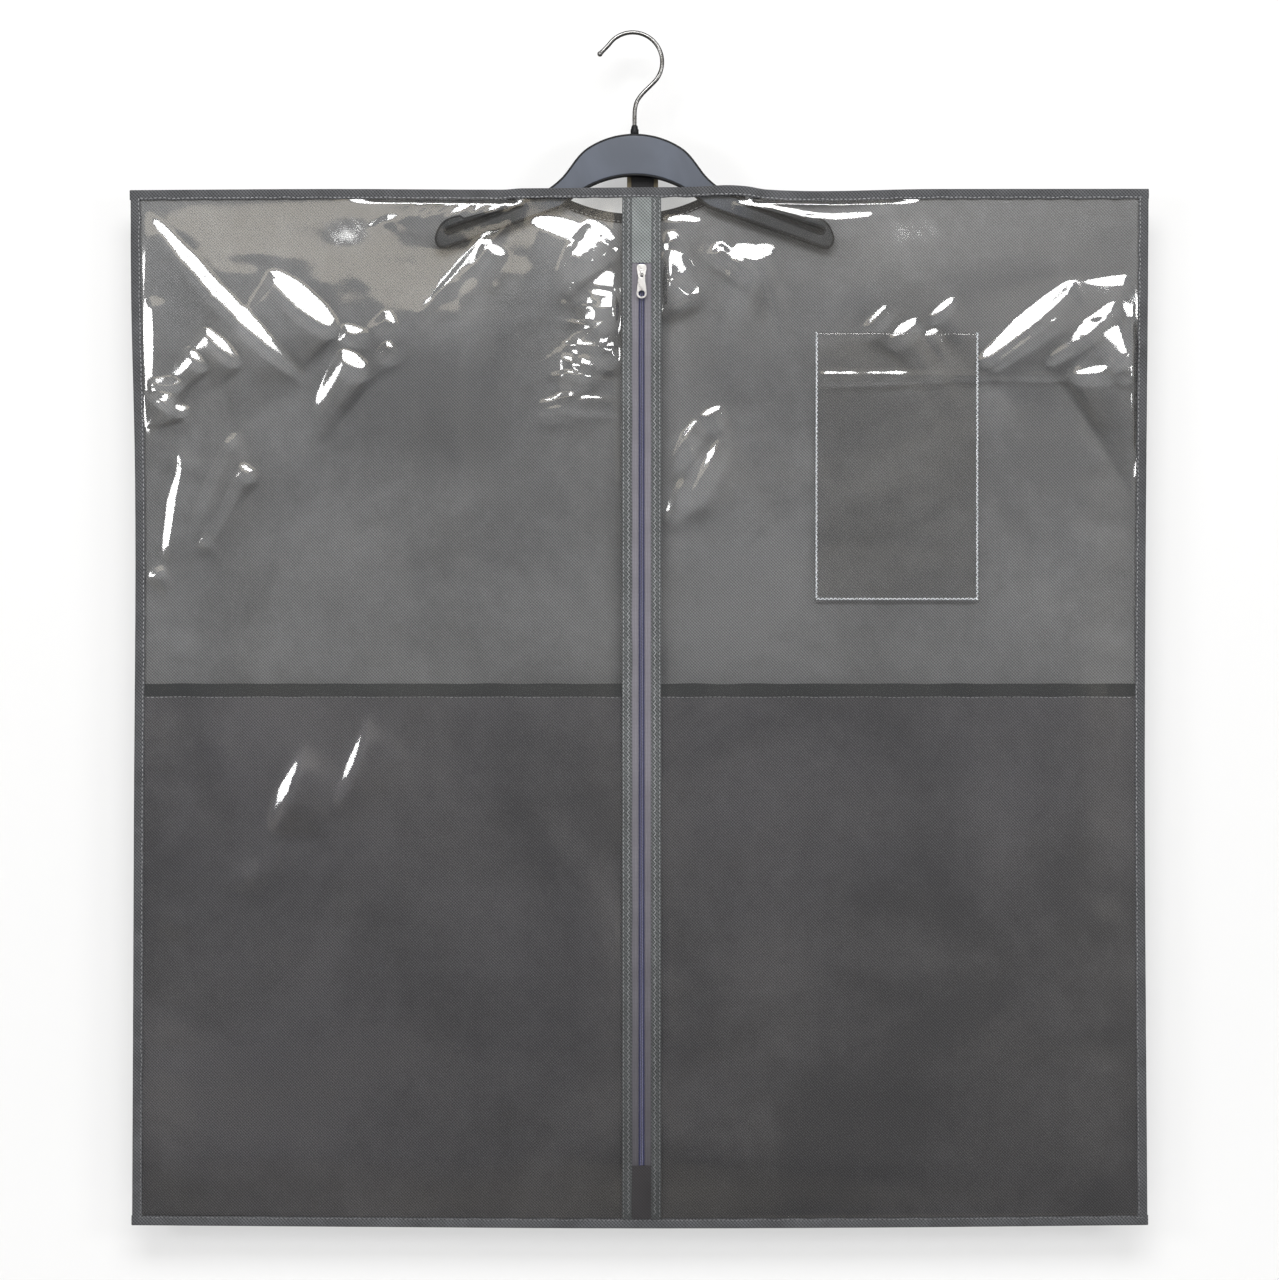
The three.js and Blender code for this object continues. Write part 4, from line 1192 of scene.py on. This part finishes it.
def add_slider():
    outline = slider_outline()
    parts = [
        cut_plate([outline], -12.4, -11.2, 0.4, 2),
        cut_plate([outline], -7.9, -6.9, 0.35, 2),
    ]
    top, low = SLIDER_TOP - 2.2, SLIDER_LOW + 1.5
    for side in (-1, 1):
        flange = [(ZIP_X + side * x, z) for x, z in ((4.3, top), (4.3, low), (3.4, low), (3.4, top))]
        parts.append(cut_plate([flange], -11.5, -9.4, 0.15, 1))
    wedge = [(ZIP_X - 0.25, SLIDER_LOW + 3), (ZIP_X + 0.25, SLIDER_LOW + 3),
             (ZIP_X + 0.3, SLIDER_TOP - 2.5), (ZIP_X - 0.3, SLIDER_TOP - 2.5)]
    parts.append(cut_plate([wedge], -11.4, -7.6, 0.05, 0))
    bail = [(-12.0, BAIL_RISE), (-13.4, BAIL_RISE), (-14.5, 1.6), (-14.9, 0), (-14.5, -1.6),
            (-13.4, -BAIL_RISE), (-12.0, -BAIL_RISE)]
    verts, faces = tube(through([(ZIP_X, y, BAIL_MIDDLE + z) for y, z in bail], 4), 0.5, 12)
    verts[:, 0] = ZIP_X + (verts[:, 0] - ZIP_X) * 1.55
    parts.append((verts, faces))
    for z in (BAIL_MIDDLE + BAIL_RISE, BAIL_MIDDLE - BAIL_RISE):  # the bosses that the bail springs from
        boss = [(ZIP_X + x, z + dz) for x, dz in ((-1.5, -1), (1.5, -1), (1.5, 1), (-1.5, 1))]
        parts.append(cut_plate([boss], -12.75, -12.0, 0.25, 2))
    nickel_piece("zip_slider_cast", "zip_slider", "slider_body", *together(*parts))


def add_pull():
    top, bottom = BAIL_MIDDLE + 0.5, BAIL_MIDDLE - 26
    neck, end = 3.6, 5
    right = [(ZIP_X + neck - 1, top)]
    right += bent(right[-1], (ZIP_X + neck, top), (ZIP_X + neck, top - 1), 4)
    right += [(ZIP_X + neck, top - 7)]
    right += bent(right[-1], (ZIP_X + neck, top - 10), (ZIP_X + neck + 0.6, top - 13), 4)
    right += [(ZIP_X + end, bottom + end + 1)]
    ring = arc(ZIP_X, bottom + end, end, 0, -180, 24)
    outline = right + ring + [(2 * ZIP_X - x, z) for x, z in reversed(right)]
    slit = [(ZIP_X + x, BAIL_MIDDLE + z) for x, z in ((-1.4, -0.5), (-1.4, -4.6), (1.4, -4.6), (1.4, -0.5))]
    hole = arc(ZIP_X, bottom + end, 3.2, 0, 345, 24)
    nickel_piece("zip_pull_stamped", "zip_pull", "pull_tab",
                 *cut_plate([outline, slit, hole], -13.95, -12.85, 0.22, 2))


# ------------------------------------------------------------------ small pieces on the bag
ID_THICK = 0.12
ID_STITCH = 2.1


def id_front(x, z):
    return film_front(x, z) - 0.6 - 0.25 * waves(x, z, 40, 51)


def add_id_pocket():
    x, z = np.meshgrid(np.linspace(ID_LEFT, ID_RIGHT, 66), np.linspace(ID_BOTTOM, ID_TOP, 100))
    made = add_mesh("id_pocket_window", *panel(x, z, id_front, ID_THICK), POCKET_FILM, "bag",
                    ["id_pocket_film"], "clear_film")

    bottom = ID_BOTTOM + 1
    for side, start, end in (
        ("left", (ID_LEFT + 1.2, ID_TOP), (ID_LEFT + 1.2, bottom + 1)),
        ("right", (ID_RIGHT - 1.2, ID_TOP), (ID_RIGHT - 1.2, ID_BOTTOM)),
        ("bottom", (ID_LEFT + 1, bottom), (ID_RIGHT - 1, bottom)),
    ):
        start, end = np.array(start, float), np.array(end, float)
        length = np.linalg.norm(end - start)
        along = (end - start) / length
        across = np.array([-along[1], along[0]])
        count = int(length / ID_STITCH)
        t = np.linspace(0, length, count + 1)
        swing = np.where(np.arange(count + 1) % 2, 1, -1) * 0.95
        place = start + t[:, None] * along + swing[:, None] * across
        y = id_front(place[:, 0], place[:, 1]) - ID_THICK
        points = np.stack([place[:, 0], y, place[:, 1]], -1)
        sew(f"id_seam_{side}_stitched", threads(points[:-1], points[1:], 0.5, (0, -0.1, 0)), BRIGHT_THREAD,
            [f"id_pocket_seam_{side}"])


def add_neck_tab():
    middle = ZIP_X + 1
    for name, half, low, high, front, thick, material, slot, node in (
        # the black tab is webbing, and its near-black is partly painted shade under the arch
        ("neck_tab_black", 11.2, -186, -118, 5.6, 0.8, BLACK_WEBBING, "black_webbing", "neck_tab_webbing"),
        ("neck_tab_taupe", 15.6, -184, -122, 6.7, 0.5, TAUPE_WEBBING, "taupe_webbing", "neck_tab_backing"),
    ):
        x, z = np.meshgrid(np.linspace(middle - half, middle + half, 15), np.linspace(low, high, 34))
        made = add_mesh(name, *panel(x, z, lambda x, z: front + 0.08 * wobble(z, 24, 61) + 0 * x, thick),
                        material, "bag", [node], slot, 60)


def add_hem_stitches():
    for side, low, high in (("left", -488, -14), ("right", 28, 498)):
        at = np.arange(low, high - 4, STITCH_PITCH)
        z = HEM_STITCH + 0.4 * wobble(at, 50, 71)
        first, last = (np.stack([x, lining_front(x, z) - 0.1, z], -1) for x in (at, at + 3))
        sew(f"pocket_hem_stitches_{side}", threads(first, last, 0.34, (0, -0.12, 0)))


add_hook()
add_hanger()
add_bindings()
add_back()
for add_panel in (add_lining, add_film):
    for front_panel in FRONT_PANELS:
        add_panel(*front_panel)
add_hem_stitches()
add_placket()
add_zip()
add_slider()
add_pull()
add_id_pocket()
add_neck_tab()


# ------------------------------------------------------------------ camera, lights and stage
def look(made, place, target):
    """Put an object at a place, facing a target."""
    made.location = place
    way = np.array(target, float) - np.array(place, float)
    made.rotation_mode = "QUATERNION"
    made.rotation_quaternion = Vector(way).to_track_quat("-Z", "Y")
    bpy.context.scene.collection.objects.link(made)


camera_data = bpy.data.cameras.new("camera")
camera_data.lens = LENS
camera_data.sensor_width = SENSOR
camera_data.clip_start = 0.05
camera_data.clip_end = 40
camera = bpy.data.objects.new("camera", camera_data)
look(camera, CAMERA, CAMERA + np.array([0, 1, 0]))
bpy.context.scene.camera = camera
bpy.context.scene.view_settings.view_transform = "Standard"

def add_light(label, place, width, height, power, colour=(1, 1, 1)):
    """A rectangle of light, hidden from the camera and aimed at the bag."""
    data = bpy.data.lights.new(label, "AREA")
    data.shape = "RECTANGLE"
    data.size = width
    data.size_y = height
    data.energy = power
    data.color = colour
    lamp = bpy.data.objects.new(label, data)
    look(lamp, place, AIM)
    lamp.visible_camera = False


for softbox in SOFTBOXES:
    add_light(*softbox)
add_light(*WARM_BOARD, WARM)
add_light(*BACK_LIGHT)


def add_world():
    """A dim, uneven room for the reflections, and plain white for the camera."""
    s = Shader("studio", world=True)
    uneven = s.fit(s.noise(2.6, 2), 0.38, 0.66)
    room = s.add("ShaderNodeBackground", {
        "Color": s.mix(uneven, (0.07, 0.075, 0.085, 1), (0.3, 0.285, 0.26, 1)),
    })
    plain = s.add("ShaderNodeBackground", {"Color": (1, 1, 1, 1)})
    seen = s.add("ShaderNodeLightPath").outputs["Is Camera Ray"]
    both = s.add("ShaderNodeMixShader", {0: seen, 1: room.outputs[0], 2: plain.outputs[0]})
    bpy.context.scene.world = s.finished(both)


def add_stage():
    """A pale wall close behind, open from its back, that curves down into a pale floor."""
    wall, floor, sweep = 46, -1420, 110
    side = 4200
    line = [(wall, 3400), (wall, floor + sweep)]
    line += [(wall - sweep + sweep * math.cos(a), floor + sweep - sweep * math.sin(a))
             for a in np.radians(np.arange(10, 91, 10))]
    line += [(-1000, floor)]
    points = [(x, y, z) for y, z in line for x in (-side, side)]
    faces = [(2 * i, 2 * i + 1, 2 * i + 3, 2 * i + 2) for i in range(len(line) - 1)]
    mesh = bpy.data.meshes.new("stage_sweep")
    mesh.from_pydata((np.array(points, float) * MM).tolist(), [], [f[::-1] for f in faces])
    mesh.polygons.foreach_set("use_smooth", [True] * len(mesh.polygons))
    s = Shader("stage_paint")
    paint = s.add("ShaderNodeBsdfPrincipled", {
        "Base Color": (0.42, 0.42, 0.42, 1), "Roughness": 0.9, "Emission Color": (1, 1, 1, 1),
        "Emission Strength": 0.45,
    })
    clear = s.add("ShaderNodeBsdfTransparent")
    facing = s.add("ShaderNodeNewGeometry").outputs["Backfacing"]
    shadow = s.add("ShaderNodeLightPath").outputs["Is Shadow Ray"]
    both = s.add("ShaderNodeMixShader", {
        0: s.maths("MAXIMUM", facing, shadow), 1: paint.outputs[0], 2: clear.outputs[0],
    })
    mesh.materials.append(s.finished(both))
    made = bpy.data.objects.new("stage_sweep", mesh)
    bpy.context.scene.collection.objects.link(made)
    made.visible_glossy = False


add_world()
add_stage()
